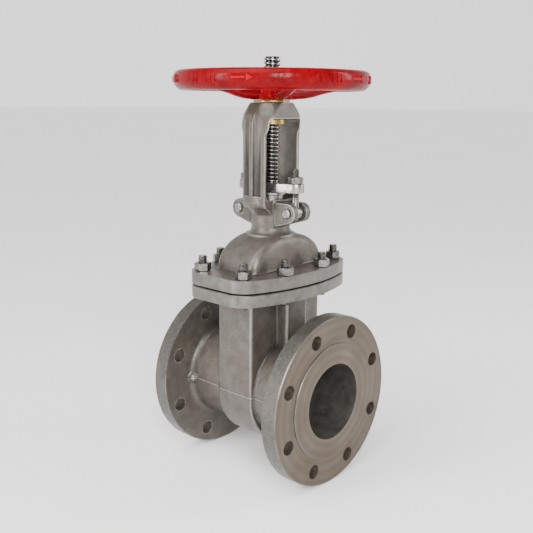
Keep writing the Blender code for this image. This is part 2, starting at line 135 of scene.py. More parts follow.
def tidy(made):
    bmesh.ops.remove_doubles(made, verts=made.verts, dist=0.005 * MM)
    bmesh.ops.recalc_face_normals(made, faces=made.faces)
    return made


def turn(profile, steps=96, axis="Z"):
    """Spins (radius, height) points round an axis. A profile that leaves the axis is closed on itself."""
    made = bmesh.new()
    points = [made.verts.new((r, 0, z)) for r, z in profile]
    edges = [made.edges.new(pair) for pair in zip(points, points[1:])]
    if profile[0][0] > 0:
        edges.append(made.edges.new((points[-1], points[0])))
    bmesh.ops.spin(
        made, geom=points + edges, cent=(0, 0, 0), axis=UP, angle=2 * math.pi, steps=steps, use_merge=True
    )
    bmesh.ops.transform(made, matrix=ALONG[axis], verts=made.verts)
    return tidy(made)


def plate(outline, low, high):
    """Pulls a flat outline up from one height to another."""
    made = bmesh.new()
    face = made.faces.new([made.verts.new((u, v, low)) for u, v in outline])
    pulled = bmesh.ops.extrude_face_region(made, geom=[face], use_keep_orig=True)
    risen = [item for item in pulled["geom"] if isinstance(item, bmesh.types.BMVert)]
    bmesh.ops.translate(made, vec=(0, 0, high - low), verts=risen)
    return tidy(made)


def bevel(made, edges, width, segments):
    bmesh.ops.bevel(
        made, geom=edges, offset=width, segments=segments, profile=0.5, affect="EDGES", material=-1
    )


def soften(made, width, segments=2, sharper_than=28):
    """Rounds every edge that is sharper than an angle, as a file or a tumbling barrel does."""
    limit = math.radians(sharper_than)
    sharp = [e for e in made.edges if len(e.link_faces) == 2 and e.calc_face_angle(0) > limit]
    bevel(made, sharp, width, segments)
    return made


def run(edge, axis):
    """How far an edge runs along an axis, numbered 0 to 2."""
    return abs(edge.verts[0].co[axis] - edge.verts[1].co[axis])


def block(half, low, high, corner=0.0):
    made = bmesh.new()
    bmesh.ops.create_cube(made, size=1)
    bmesh.ops.scale(made, vec=(2 * half[0], 2 * half[1], high - low), verts=made.verts)
    bmesh.ops.translate(made, vec=(0, 0, (low + high) / 2), verts=made.verts)
    if corner:
        bevel(made, [e for e in made.edges if run(e, 2) > 1 * MM], corner, 8)
    return made


def rod(radius, low, high, axis="Z", place=(0, 0, 0), steps=48):
    made = bmesh.new()
    move = Matrix.Translation(place) @ ALONG[axis] @ Matrix.Translation((0, 0, (low + high) / 2))
    bmesh.ops.create_cone(
        made, cap_ends=True, segments=steps, radius1=radius, radius2=radius, depth=high - low, matrix=move
    )
    return made


def put(made, matrix):
    bmesh.ops.transform(made, matrix=matrix, verts=made.verts)
    return made


def slide(made, x=0.0, y=0.0, z=0.0):
    return put(made, Matrix.Translation((x, y, z)))


def mm(*points):
    """Points given in millimetres, in metres."""
    return [(u * MM, v * MM) for u, v in points]


def mirrored(points):
    return [(-u, v) for u, v in reversed(points)]


def arc(u, v, radius, start, end, steps):
    angles = [math.radians(start + (end - start) * i / steps) for i in range(steps + 1)]
    return [(u + radius * math.cos(a), v + radius * math.sin(a)) for a in angles]


# %% [markdown]
# A mesh becomes an object with its finishes. Several closed shells can share one object until they are
# fused. Booleans do the cutting and joining, and the result is read back as a plain mesh, so that no
# modifier is left for later.

# %% Objects and Booleans
def coat(obj, *finishes):
    obj.data.materials.clear()
    for finish in finishes:
        obj.data.materials.append(finish)


def as_object(name, made, *finishes):
    mesh = bpy.data.meshes.new(name)
    made.to_mesh(mesh)
    made.free()
    obj = bpy.data.objects.new(name, mesh)
    bpy.context.scene.collection.objects.link(obj)
    coat(obj, *finishes)
    return obj


def together(name, shells):
    """Puts closed shells into one object without fusing them."""
    whole = bmesh.new()
    for shell in shells:
        mesh = bpy.data.meshes.new("shell")
        shell.to_mesh(mesh)
        shell.free()
        whole.from_mesh(mesh)
        bpy.data.meshes.remove(mesh)
    return as_object(name, whole)


def apply_all(obj):
    """Reads the object with its modifiers as a new plain mesh."""
    bpy.context.view_layer.update()
    ready = obj.evaluated_get(bpy.context.evaluated_depsgraph_get())
    mesh = bpy.data.meshes.new_from_object(ready)
    old = obj.data
    obj.modifiers.clear()
    obj.data = mesh
    bpy.data.meshes.remove(old)


def carve(obj, tool, operation="DIFFERENCE", finish_index=0):
    """One Boolean with a tool that is used up. The cut faces take the finish at the index, if any."""
    if finish_index is not None:
        for face in tool.data.polygons:
            face.material_index = finish_index
    change = obj.modifiers.new("carve", "BOOLEAN")
    change.operation = operation
    change.solver = "EXACT"
    change.object = tool
    apply_all(obj)
    bpy.data.objects.remove(tool)
    return obj


def fuse(name, shells):
    """Joins closed shells into one solid, one after another."""
    first, *rest = [as_object(name, shell) for shell in shells]
    for other in rest:
        carve(first, other, "UNION")
    return first


def heal(obj):
    """Joins points that cuts left almost on top of each other, and closes the pinholes between them."""
    made = bmesh.new()
    made.from_mesh(obj.data)
    bmesh.ops.remove_doubles(made, verts=made.verts, dist=0.02 * MM)
    bmesh.ops.dissolve_degenerate(made, dist=0.01 * MM, edges=made.edges)
    bmesh.ops.holes_fill(made, edges=[e for e in made.edges if e.is_boundary], sides=8)
    made.to_mesh(obj.data)
    made.free()
    return obj


def smooth_shade(obj, angle=32):
    obj.data.shade_smooth()
    obj.data.set_sharp_from_angle(angle=math.radians(angle))
    return obj


# %% [markdown]
# ## How a casting is made here
# A founder rams sand round a pattern, so every inner corner of the casting has a fillet and no edge is
# quite sharp. The same happens to overlapping shells when they are remeshed on a fine grid and relaxed:
# the shells fuse, the corners fill and the edges round. Machining comes afterwards as Booleans, which
# leaves crisp edges only where a cutter has been.

# %% Casting: fuse shells on a grid and relax them
def cast(name, shells, grain, relax, *finishes):
    rough = together(name, shells)
    grid = rough.modifiers.new("grid", "REMESH")
    grid.mode = "VOXEL"
    grid.voxel_size = grain
    grid.adaptivity = 0
    relaxed = rough.modifiers.new("relax", "SMOOTH")
    relaxed.factor = 0.5
    relaxed.iterations = relax
    apply_all(rough)
    coat(rough, *finishes)
    print(f"{name}: {len(rough.data.polygons)} faces after casting")
    return rough


# %% [markdown]
# ## Finishes
# A finish is a few layers of noise on Object coordinates, at the scales the real surface has: stains the
# size of a hand, cloudy patches the size of a coin, and grain the size of a sand grain. The colour, the
# roughness and the bump read different layers, so they don't line up like a printed pattern.

# %% A small kit for node materials
def map_range(tree, source, from_low, from_high, to_low, to_high):
    node = tree.nodes.new("ShaderNodeMapRange")
    limits = {"From Min": from_low, "From Max": from_high, "To Min": to_low, "To Max": to_high}
    for socket, value in limits.items():
        node.inputs[socket].default_value = value
    tree.links.new(source, node.inputs["Value"])
    return node.outputs["Result"]


class Finish:
    """Builds one material: layers of noise on Object coordinates feed colour, roughness and bump."""

    def __init__(self, name, metallic, **shader_values):
        self.material = bpy.data.materials.new(name)
        self.material.use_nodes = True
        self.tree = self.material.node_tree
        self.shader = self.tree.nodes["Principled BSDF"]
        self.shader.inputs["Metallic"].default_value = metallic
        for socket, value in shader_values.items():
            self.shader.inputs[socket.replace("_", " ")].default_value = value
        self.place = self.tree.nodes.new("ShaderNodeTexCoord").outputs["Object"]

    def link(self, source, target):
        self.tree.links.new(source, target)

    def noise(self, size, detail=3, stretch=None):
        """A noise with features of about this size in millimetres."""
        node = self.tree.nodes.new("ShaderNodeTexNoise")
        node.inputs["Scale"].default_value = 1 / (size * MM)
        node.inputs["Detail"].default_value = detail
        node.inputs["Roughness"].default_value = 0.55
        place = self.place
        if stretch:
            mapping = self.tree.nodes.new("ShaderNodeMapping")
            mapping.inputs["Scale"].default_value = stretch
            self.link(self.place, mapping.inputs["Vector"])
            place = mapping.outputs["Vector"]
        self.link(place, node.inputs["Vector"])
        return node.outputs["Fac"]

    def rings(self, pitch, distortion=0.0):
        """Turning marks: rings round the pipe's axis, a pitch apart in millimetres."""
        node = self.tree.nodes.new("ShaderNodeTexWave")
        node.wave_type = "RINGS"
        node.rings_direction = "X"
        node.inputs["Scale"].default_value = 2 * math.pi / 20 / (pitch * MM)
        node.inputs["Distortion"].default_value = distortion
        self.link(self.place, node.inputs["Vector"])
        return node.outputs["Fac"]

    def ramp(self, factor, *stops):
        """Maps a factor through (position, colour) stops."""
        node = self.tree.nodes.new("ShaderNodeValToRGB")
        bar = node.color_ramp.elements
        while len(bar) < len(stops):
            bar.new(0.5)
        for element, (position, colour) in zip(bar, stops):
            element.position = position
            element.color = (*colour, 1)
        self.link(factor, node.inputs["Fac"])
        return node.outputs["Color"]

    def mix(self, factor, first, second):
        node = self.tree.nodes.new("ShaderNodeMix")
        node.data_type = "RGBA"
        for value, socket in ((factor, node.inputs[0]), (first, node.inputs[6]), (second, node.inputs[7])):
            if isinstance(value, bpy.types.NodeSocket):
                self.link(value, socket)
            elif isinstance(value, tuple):
                socket.default_value = (*value, 1)
            else:
                socket.default_value = value
        return node.outputs[2]

    def spread(self, noise, low, high):
        """Maps a noise, which mostly lies between 0.3 and 0.7, onto a range."""
        return map_range(self.tree, noise, 0.3, 0.7, low, high)

    def worn_edges(self, low, high):
        """A mask that rises with how much a point sticks out: 0.5 is flat, edges are above, hollows below."""
        pointiness = self.tree.nodes.new("ShaderNodeNewGeometry").outputs["Pointiness"]
        return map_range(self.tree, pointiness, low, high, 0.0, 1.0)

    def colour(self, source):
        self.link(source, self.shader.inputs["Base Color"])

    def rough(self, source):
        self.link(source, self.shader.inputs["Roughness"])

    def bumps(self, *layers):
        """Stacks bump layers of (height, depth in millimetres)."""
        normal = None
        for height, depth in layers:
            node = self.tree.nodes.new("ShaderNodeBump")
            node.inputs["Strength"].default_value = 1.0
            node.inputs["Distance"].default_value = depth * MM
            self.link(height, node.inputs["Height"])
            if normal:
                self.link(normal, node.inputs["Normal"])
            normal = node.outputs["Normal"]
        self.link(normal, self.shader.inputs["Normal"])


# %% [markdown]
# The castings are stainless steel, shot-blasted and pickled: a warm grey with brownish clouds, never
# mirror-like. Blasting leaves a fine even grain, and the sand leaves shallow pits and slow waves. The
# colour also carries painted shade in the hollows and painted highlights along the edges.

# %% Cast stainless steel
def cast_stainless():
    made = Finish("cast_stainless_steel", 0.42)
    base = made.ramp(made.noise(16, 4), (0.30, (0.070, 0.063, 0.054)), (0.72, (0.132, 0.122, 0.108)))
    stained = made.mix(made.spread(made.noise(70, 4), 0.0, 0.5), base, (0.094, 0.070, 0.049))
    spotted = made.mix(made.spread(made.noise(2.2), 0.0, 0.40), stained, (0.037, 0.032, 0.027))
    # Painted shade: the colour darkens where the surface is hollow, in corners and creases.
    grimed = made.mix(made.worn_edges(0.455, 0.495), (0.024, 0.020, 0.016), spotted)
    # Painted highlight: the colour turns a light grey where the surface sticks out, along every edge.
    made.colour(made.mix(made.worn_edges(0.516, 0.575), grimed, (0.44, 0.43, 0.41)))
    made.rough(made.spread(made.noise(9), 0.28, 0.44))
    made.bumps((made.noise(14, 2), 0.5), (made.noise(3.0), 0.25), (made.noise(0.9, 2), 0.12))
    return made.material


CAST = cast_stainless()

# %% [markdown]
# A lathe faces the pipe flanges, so their finish has fine rings round the pipe's axis, with a brownish
# tint from the cutting oil and a few wider bands where the feed changed. The rims are turned with a coarser
# feed, so they are darker, with painted glints on the torn grain: light specks in the colour.

# %% Turned flanges
def faced_flange():
    made = Finish("faced_flange_steel", 0.60)
    base = made.ramp(made.noise(55), (0.32, (0.084, 0.060, 0.040)), (0.70, (0.116, 0.092, 0.068)))
    made.colour(made.mix(made.spread(made.rings(13, 1.2), 0.0, 0.30), base, (0.050, 0.037, 0.026)))
    made.rough(made.spread(made.noise(22), 0.36, 0.50))
    made.bumps((made.rings(1.7), 0.05), (made.noise(1.6, 2), 0.04))
    return made.material


def rough_turned_rim():
    made = Finish("rough_turned_rim", 0.70)
    grain = made.noise(1.3, 2, stretch=(0.5, 1, 1))
    base = made.ramp(made.noise(18, 4), (0.30, (0.042, 0.039, 0.034)), (0.72, (0.084, 0.078, 0.069)))
    # Painted highlight: light specks where the grain noise is high stand for glints.
    made.colour(made.mix(made.spread(grain, 0.0, 0.6), base, (0.150, 0.142, 0.127)))
    made.rough(made.spread(made.noise(4), 0.30, 0.48))
    made.bumps((made.noise(5), 0.20), (grain, 0.16))
    return made.material


FACED, RIM = faced_flange(), rough_turned_rim()

# %% [markdown]
# The other machined faces, the gate and the packing need less: clouds between two close colours, patchy
# roughness, and one or two layers of grain, stretched along the way the tool went.

# %% Milled, drilled, ground and pressed
def plain(name, metallic, cloud, dark, light, rough, *grains, light_from=0.72):
    """cloud is (size, detail), rough is (size, low, high) and a grain is (size, detail, stretch, depth)."""
    made = Finish(name, metallic)
    made.colour(made.ramp(made.noise(*cloud), (0.30, dark), (light_from, light)))
    size, low, high = rough
    made.rough(made.spread(made.noise(size), low, high))
    made.bumps(*[(made.noise(size, detail, stretch), depth) for size, detail, stretch, depth in grains])
    return made.material


MILLED = plain(
    "milled_edge_steel", 0.75, (12, 4), (0.095, 0.089, 0.079), (0.165, 0.156, 0.142),
    (6, 0.30, 0.44), (7, 3, None, 0.15), (1.0, 2, (1, 1, 6), 0.05)
)
DRILLED = plain(
    "drilled_wall_steel", 0.50, (6, 3), (0.040, 0.032, 0.026), (0.100, 0.082, 0.064),
    (3, 0.45, 0.60), (1.2, 2, (4, 1, 1), 0.08)
)
GATE = plain(
    "ground_gate_steel", 0.55, (20, 4), (0.085, 0.084, 0.076), (0.140, 0.138, 0.125),
    (8, 0.42, 0.58), (5, 3, None, 0.12), (0.8, 2, None, 0.04)
)
GRAPHITE = plain(
    "pressed_graphite", 0.0, (3, 4), (0.020, 0.020, 0.021), (0.060, 0.060, 0.062),
    (2, 0.55, 0.75), (0.8, 3, None, 0.08), light_from=0.70
)

# %% [markdown]
# Studs, nuts and the gland's bar are bright stainless bar stock. They stay shinier than the castings, with
# scratches along the way they were drawn or turned. The stem keeps dark grease in the roots of its thread.

# %% Bright bar, stem, brass
def bright_bar(name, dark, light, low, high):
    made = Finish(name, 0.95)
    along = (1, 1, 8)
    bar = made.ramp(made.noise(5, 4), (0.3, dark), (0.72, light))
    polished = tuple(min(1.0, 1.35 * value) for value in light)
    made.colour(made.mix(made.worn_edges(0.60, 0.85), bar, polished))
    made.rough(made.spread(made.noise(2.5, 3, along), low, high))
    made.bumps((made.noise(1.0, 3, along), 0.03), (made.noise(4, 2), 0.05))
    return made.material


def greased_stem():
    made = Finish("greased_stem_steel", 0.95)
    along = (1, 1, 10)
    bar = made.ramp(made.noise(6), (0.30, (0.17, 0.164, 0.155)), (0.72, (0.30, 0.292, 0.28)))
    made.colour(made.mix(made.worn_edges(0.46, 0.54), (0.035, 0.032, 0.028), bar))
    made.rough(made.spread(made.noise(2.5, 3, along), 0.14, 0.28))
    made.bumps((made.noise(1.0, 3, along), 0.03))
    return made.material


BRIGHT = bright_bar("bright_steel_bar", (0.22, 0.212, 0.197), (0.38, 0.368, 0.345), 0.20, 0.36)
FASTENER = bright_bar("plain_bolt_steel", (0.10, 0.095, 0.087), (0.23, 0.222, 0.207), 0.18, 0.32)
BRASS = bright_bar("machined_brass", (0.25, 0.165, 0.045), (0.42, 0.29, 0.095), 0.24, 0.38)
STEM = greased_stem()

# %% [markdown]
# The wheel is grey iron under thick glossy enamel. The paint rounds over the casting's bumps, pools a
# little darker in its hollows, and turns a lighter red along every convex edge, partly rubbed paint and
# partly a painted highlight.

# %% Red enamel
def red_enamel():
    made = Finish("red_enamel", 0.0, Coat_Weight=0.06, Coat_Roughness=0.04, Specular_IOR_Level=0.06)
    base = made.ramp(made.noise(26, 4), (0.30, (0.105, 0.0, 0.0020)), (0.72, (0.235, 0.0004, 0.0045)))
    pooled = made.mix(made.spread(made.noise(6), 0.0, 0.4), base, (0.062, 0.0, 0.001))
    # Lighter red along every convex edge: partly rubbed paint, partly a painted highlight.
    made.colour(made.mix(made.worn_edges(0.55, 0.72), pooled, (0.52, 0.010, 0.014)))
    made.rough(made.spread(made.noise(11), 0.16, 0.30))
    made.bumps((made.noise(9), 0.60), (made.noise(2.2), 0.18))
    return made.material


RED = red_enamel()
print("finishes:", len(bpy.data.materials))

# %% [markdown]
# ## The body casting
# The pattern is a flat box with a round bottom, which holds the gate, crossed by the two pipe necks. A rib
# on each pipe side carries the bonnet joint. The pipe flanges are cast a little large, because a lathe
# takes the rest off. The mould's two halves meet in the middle, so a thin ridge of flash runs round it.

# %% Shells of the body's pattern
box_half_x, box_half_y = 30.3 * MM, 69.4 * MM
box_arc_z = -6 * MM
neck_r = 65 * MM
flange_thick = 24 * MM
raised_r = 78.6 * MM
raised = 1.6 * MM
port_r = seat_high.z - 5.5 * MM
stock = 1.2 * MM
joint_thick = 16.3 * MM
body_top = body_high.z


def crowned(middle_x, half_y, corner_r, corner_x, steps=8):
    """The bonnet joint's outline: flat ends, round corners, and long sides that bulge as one arc each."""
    corner_y = half_y - corner_r
    inner_x = middle_x - corner_r
    back = (corner_x ** 2 + corner_y ** 2 - inner_x ** 2) / (2 * (inner_x - corner_x))
    lean = math.degrees(math.atan2(corner_y, corner_x + back))
    side = arc(-back, 0, middle_x + back, -lean, lean, 24)
    corner = arc(corner_x, corner_y, corner_r, lean, 90, steps)[1:]
    far = mirrored(corner)
    half = side + corner + far
    return half + [(-u, -v) for u, v in side[1:]] + [(-u, -v) for u, v in corner + far]


def joint_outline(spare=0.0):
    return crowned(joint_half_x + spare, joint_half_y + spare, 30 * MM + spare, 27.9 * MM)


def body_shells():
    flat = block((box_half_x, box_half_y), box_arc_z, body_top - 2 * MM, corner=2.2 * MM)
    bottom = rod(box_half_y, -box_half_x, box_half_x, "X", (0, 0, box_arc_z), 96)
    neck = rod(neck_r, -end_x + 8 * MM, end_x - 8 * MM, "X", steps=96)
    shells = [flat, soften(bottom, 2.2 * MM, 4), neck]
    back_x = end_x - flange_thick
    for side in SIDES:
        rim = [(0, end_x + stock), (flange_r + stock, end_x + stock), (flange_r + stock, back_x)]
        rim += [(r, x) for x, r in arc(back_x - 9 * MM, neck_r + 9 * MM, 9 * MM, 0, -90, 6)]
        rim += [(neck_r - 4 * MM, back_x - 12 * MM), (0, back_x - 12 * MM)]
        shells.append(put(turn(rim, 96, "X"), Matrix.Rotation(math.pi if side < 0 else 0, 4, "Z")))
        rib = block((10 * MM, 20 * MM), 30 * MM, body_top - 4 * MM, corner=3 * MM)
        shells.append(slide(rib, x=side * 40 * MM))
        knob = bmesh.new()
        bmesh.ops.create_uvsphere(knob, u_segments=24, v_segments=12, radius=5.5 * MM)
        for turned in SIDES:
            shells.append(slide(knob.copy(), side * (back_x - 5 * MM), turned * (neck_r + 2 * MM), 0))
        knob.free()
    shells.append(plate(joint_outline(stock), body_top - joint_thick, body_top + stock))
    return shells


body = cast("body_casting", body_shells(), 1.9 * MM, 2, CAST, FACED, MILLED, RIM, DRILLED)

# %% [markdown]
# The flash ridge is thinner than the casting's grid, so four cuts through the mesh lay down rows of edges
# above and below the parting plane, and the two rows next to it are pushed out along their normals.

# %% The parting ridge
def parting_ridge(obj, half_width, height):
    made = bmesh.new()
    made.from_mesh(obj.data)
    crest = 0.35 * half_width
    for z in (-half_width, -crest, crest, half_width):
        geometry = made.verts[:] + made.edges[:] + made.faces[:]
        bmesh.ops.bisect_plane(made, geom=geometry, dist=0.00001, plane_co=(0, 0, z), plane_no=UP)
    made.normal_update()
    moved = 0
    for vert in made.verts:
        if abs(vert.co.z) < 0.5 * half_width and abs(vert.co.x) < end_x - flange_thick - 2 * MM:
            outward = Vector((vert.normal.x, vert.normal.y, 0))
            vert.co += outward * height
            moved += 1
    made.to_mesh(obj.data)
    made.free()
    print("parting ridge:", moved, "points moved")


parting_ridge(body, 1.3 * MM, 0.5 * MM)

# %% [markdown]
# Now the machine shop. One tool is the whole envelope that the lathe and the mill leave: the flange rims
# with a small chamfer, the raised faces, and the joint's outline. Keeping what lies inside it trims the
# casting in one step. The next tools take out the chamber, the port, the seat pockets and all the holes.

# %% Machining the body
STUD_PLACES = [reach(f"stud_{i}")[2] for i in range(1, 9)]
BOLT_ANGLES = [math.radians(22.5 + 45 * i) for i in range(8)]
bolt_circle_r = 95.25 * MM
bolt_hole_r = 9.5 * MM
stud_r = 6 * MM
fit = 0.3 * MM


def lathe_envelope():
    """What the lathe leaves of the pipe flanges: faces, bright chamfers and a rougher rim."""
    chamfer = 1.2 * MM
    wide = 200 * MM
    step_x = end_x - raised
    cut_x = end_x - flange_thick - 1.5 * MM
    half = [(0, end_x), (raised_r - 0.7 * MM, end_x), (raised_r, end_x - 0.7 * MM), (raised_r, step_x)]
    half += [(flange_r - chamfer, step_x), (flange_r, step_x - chamfer), (flange_r, cut_x), (wide, cut_x)]
    tool = as_object("lathe_envelope", turn(half + [(r, -x) for r, x in reversed(half)], 128, "X"))
    for face in tool.data.polygons:
        tilt = abs(face.normal.x)
        face.material_index = 1 if tilt > 0.95 else 2 if tilt > 0.3 else 3
    return tool


def mill_envelope():
    under = body_top - joint_thick - 3 * MM
    mill = as_object("mill_envelope", soften(plate(joint_outline(), under, body_top), 0.9 * MM, 1, 60))
    below = as_object("below", block((130 * MM, 130 * MM), -130 * MM, under + 1 * MM))
    return carve(mill, below, "UNION")


def chamber_and_port():
    """The chamber is one U-shaped plate stood upright, crossed by the port and the seat pockets."""
    half_x, half_y = 22 * MM, 61.5 * MM
    high = body_top + 20 * MM
    hollow = [(half_y, high), (-half_y, high)] + arc(0, box_arc_z, half_y, 180, 360, 48)
    pocket_r, pocket_x = seat_high.z + fit, seat_high.x + fit
    return fuse("chamber_and_port", [
        put(plate(hollow, -half_x, half_x), STAND_YZ),
        rod(port_r, -end_x - 5 * MM, end_x + 5 * MM, "X", steps=128),
        rod(pocket_r, -pocket_x, pocket_x, "X", steps=128),
    ])


def at_studs(name, radius, low, high):
    """One upright cutter at every stud's place."""
    return together(name, [rod(radius, low, high, place=(p.x, p.y, 0)) for p in STUD_PLACES])


def bolt_holes():
    holes = []
    for side in SIDES:
        for angle in BOLT_ANGLES:
            place = (0, bolt_circle_r * math.cos(angle), bolt_circle_r * math.sin(angle))
            holes.append(rod(bolt_hole_r, side * end_x - 40 * MM, side * end_x + 40 * MM, "X", place, 32))
    return together("bolt_holes", holes)


def machine_body():
    carve(body, lathe_envelope(), "INTERSECT", None)
    carve(body, mill_envelope(), "INTERSECT", 2)
    carve(body, chamber_and_port(), finish_index=2)
    carve(body, bolt_holes(), finish_index=4)
    carve(body, at_studs("tapped_holes", stud_r + 0.1 * MM, 120 * MM, 160 * MM), finish_index=4)
    smooth_shade(heal(body))
    print("body:", len(body.data.polygons), "faces")


machine_body()

# %% [markdown]
# ## The bonnet and yoke casting
# One casting makes the joint flange, the dome that the gate rises into, the neck with the stuffing box,
# the two pairs of hinge lugs and the yoke. Each yoke arm has two shallow flutes with a rib between them,
# which makes it stiff without making it heavy. They are cut last of all, so that their edges stay crisp.

# %% Shells of the bonnet's pattern
bonnet_bottom = bonnet_low.z
flange_top = 168.2 * MM
dome_half = (36 * MM, 70 * MM)
dome_spring = 168 * MM
dome_top = 213 * MM
neck_top = 259 * MM
yoke_r = 39.5 * MM
arm_half_x = 19.5 * MM
window_half_y = 30 * MM
window_top = 363 * MM
cap_r, cap_top = 27 * MM, bonnet_high.z
_, _, pin_place = reach("eyebolt_pin_front")
eye_x, eye_z = pin_place.x, pin_place.z
ear_r = 13 * MM
ear_half_y = 17 * MM


def yoke_shell():
    """A turned shape kept between two flats that widen under the cap, with the window cut through it."""
    profile = [(0, cap_top), (cap_r, cap_top)] + mm((28.5, 383), (33, 376), (37, 368))
    profile += [(yoke_r, 358 * MM), (yoke_r, 254 * MM)] + mm((38, 249.5), (33, 246), (26, 238), (0, 238))
    yoke = as_object("yoke", turn(profile, 96))
    half = [(arm_half_x, 230 * MM), (arm_half_x, 343 * MM), (cap_r, 358 * MM), (cap_r, 400 * MM)]
    flats = plate(half + mirrored(half), -50 * MM, 50 * MM)
    carve(yoke, as_object("flats", put(flats, STAND_XZ)), "INTERSECT")
    window = block((60 * MM, window_half_y), neck_top, window_top)
    bevel(window, [e for e in window.edges if run(e, 0) > 10 * MM], 5 * MM, 5)
    carve(yoke, as_object("window", window))
    return yoke


def flutes():
    """Four cutters, two for each arm, with rounded corners along their length."""
    rib_half, edge = 2.6 * MM, 15.6 * MM
    cutters = []
    for side in SIDES:
        for hand in SIDES:
            flute = block(((edge - rib_half) / 2, 6 * MM), 264 * MM, 371 * MM)
            bevel(flute, [e for e in flute.edges if run(e, 2) > 10 * MM], 2.2 * MM, 4)
            middle = hand * (edge + rib_half) / 2
            cutters.append(slide(flute, middle, side * (yoke_r + 1.9 * MM), 0))
    return together("flutes", cutters)


def lug_shell(side):
    outline = [(0, eye_z + ear_r)] + arc(eye_x, eye_z, ear_r, 90, -62, 24) + mm((24, 224), (0, 224))
    lug = plate([(side * u, v) for u, v in outline], -ear_half_y, ear_half_y)
    return put(lug, STAND_XZ)


def dome_shell(half, low, top, edge, fullness):
    """An arch across Y, as round as the gate that it houses, flat in X and rounded off along both rims."""
    outline = [(-half[1], low), (half[1], low)]
    for i in range(49):
        angle = math.pi * i / 48
        across = math.copysign(abs(math.cos(angle)) ** (2 / fullness), math.cos(angle))
        rise = abs(math.sin(angle)) ** (2 / fullness)
        outline.append((half[1] * across, dome_spring + (top - dome_spring) * rise))
    made = put(plate(outline, -half[0], half[0]), STAND_YZ)
    made.normal_update()
    rims = []
    for line in made.edges:
        flat = [abs(face.normal.x) > 0.99 for face in line.link_faces]
        if any(flat) and not all(flat) and max(v.co.z for v in line.verts) > low + 1 * MM:
            rims.append(line)
    bevel(made, rims, edge, 7)
    return tidy(made)


def bonnet_shells():
    dome = dome_shell(dome_half, 158 * MM, dome_top, 11 * MM, 2.2)
    neck = [(0, neck_top), (26.8 * MM, neck_top), (26.8 * MM, 228 * MM), (26.0 * MM, 222 * MM)]
    neck += arc(35.0 * MM, 221.0 * MM, 9 * MM, 180, 262, 8) + [(33.0 * MM, 205 * MM), (0, 205 * MM)]
    base = plate(joint_outline(stock), bonnet_bottom - stock, flange_top)
    return [dome, turn(neck), base, lug_shell(1), lug_shell(-1)]


def bonnet_casting():
    shells = bonnet_shells()
    yoke = yoke_shell()
    arms = bmesh.new()
    arms.from_mesh(yoke.data)
    bpy.data.objects.remove(yoke)
    return cast("bonnet_casting", shells + [arms], 1.3 * MM, 2, CAST, FACED, MILLED)


bonnet = bonnet_casting()

# %% [markdown]
# The bonnet is machined like the body: its joint outline and its cap are trimmed by one envelope, then the
# bores are cut from the top down: the stem nut's journal, the stuffing box for the packing, and the bore
# for the backseat bush. The hinge lugs get a slot each and a pin hole across.

# %% Machining the bonnet
stuffing_r = 17.5 * MM
journal_r = 14.8 * MM
slot_half = 7.5 * MM
pin_r, eye_r = 4.1 * MM, 9.5 * MM


def machine_bonnet():
    envelope = soften(plate(joint_outline(), bonnet_bottom, cap_top), 0.9 * MM, 1, 60)
    carve(bonnet, as_object("bonnet_envelope", envelope), "INTERSECT", 2)
    wall = 9 * MM
    inside_half = (dome_half[0] - wall, dome_half[1] - wall)
    inside = dome_shell(inside_half, 130 * MM, 203.5 * MM, 6 * MM, 3.0)
    carve(bonnet, as_object("inside", inside), finish_index=0)
    carve(bonnet, fuse("bores", [
        rod(15.5 * MM, 190 * MM, 222 * MM),
        rod(stuffing_r, 218 * MM, neck_top + 10 * MM, steps=64),
        rod(24 * MM, neck_top - 0.6 * MM, neck_top + 8 * MM, steps=64),
    ]), finish_index=2)
    cap_bore = rod(journal_r + fit, 350 * MM, cap_top + 5 * MM, steps=64)
    carve(bonnet, as_object("cap_bore", cap_bore), finish_index=2)
    carve(bonnet, flutes())
    slots = [slide(block((20 * MM, slot_half), 222 * MM, 272 * MM), x=side * 51 * MM) for side in SIDES]
    carve(bonnet, together("slots", slots), finish_index=2)
    pins = [rod(pin_r + fit, -30 * MM, 30 * MM, "Y", (side * eye_x, 0, eye_z), 32) for side in SIDES]
    carve(bonnet, together("pin_holes", pins), finish_index=2)
    ears = []
    for side in SIDES:
        for hand in SIDES:
            near, far = sorted((hand * (ear_half_y - 0.4 * MM), hand * (ear_half_y + 4 * MM)))
            ears.append(rod(eye_r, near, far, "Y", (side * eye_x, 0, eye_z), 40))
    carve(bonnet, together("ear_faces", ears), finish_index=2)
    carve(bonnet, at_studs("stud_holes", stud_r + 1 * MM, 145 * MM, 175 * MM), finish_index=2)
    seats_z = flange_top - 0.15 * MM
    carve(bonnet, at_studs("nut_seats", 12.5 * MM, seats_z, flange_top + 6 * MM), finish_index=2)
    smooth_shade(heal(bonnet))
    print("bonnet:", len(bonnet.data.polygons), "faces")


machine_bonnet()

# %% [markdown]
# ## Seats and gate
# The seat rings are turned rings, cut off at the gate's angle so that both faces meet flat. The gate is a
# disc with five degrees of taper a side, with a slotted hub on top that the stem's head slides into.
# Both stay in the dark of the port, so a plain ground finish is right for them.

# %% Seat rings and gate
TAPER = math.tan(math.radians(5))
gate_half = 15 * MM


def slanted(reach_z, offset, side, depth):
    """A plate's outline in X and Z whose inner side follows the gate's face."""
    near = [(side * (gate_half + offset + z * TAPER), z) for z in (-reach_z, reach_z)]
    return [(side * -depth, reach_z), (side * -depth, -reach_z)] + near


def seat_ring(name, side):
    low, high = sorted((side * 4 * MM, side * seat_high.x))
    ring = turn([(seat_high.z, high), (seat_high.z, low), (port_r, low), (port_r, high)], 128, "X")
    obj = as_object(name, ring, BRIGHT)
    wide = 80 * MM
    tool = put(plate(slanted(wide, fit, side, 30 * MM), -wide, wide), STAND_XZ)
    return smooth_shade(carve(obj, as_object("face", tidy(tool))))


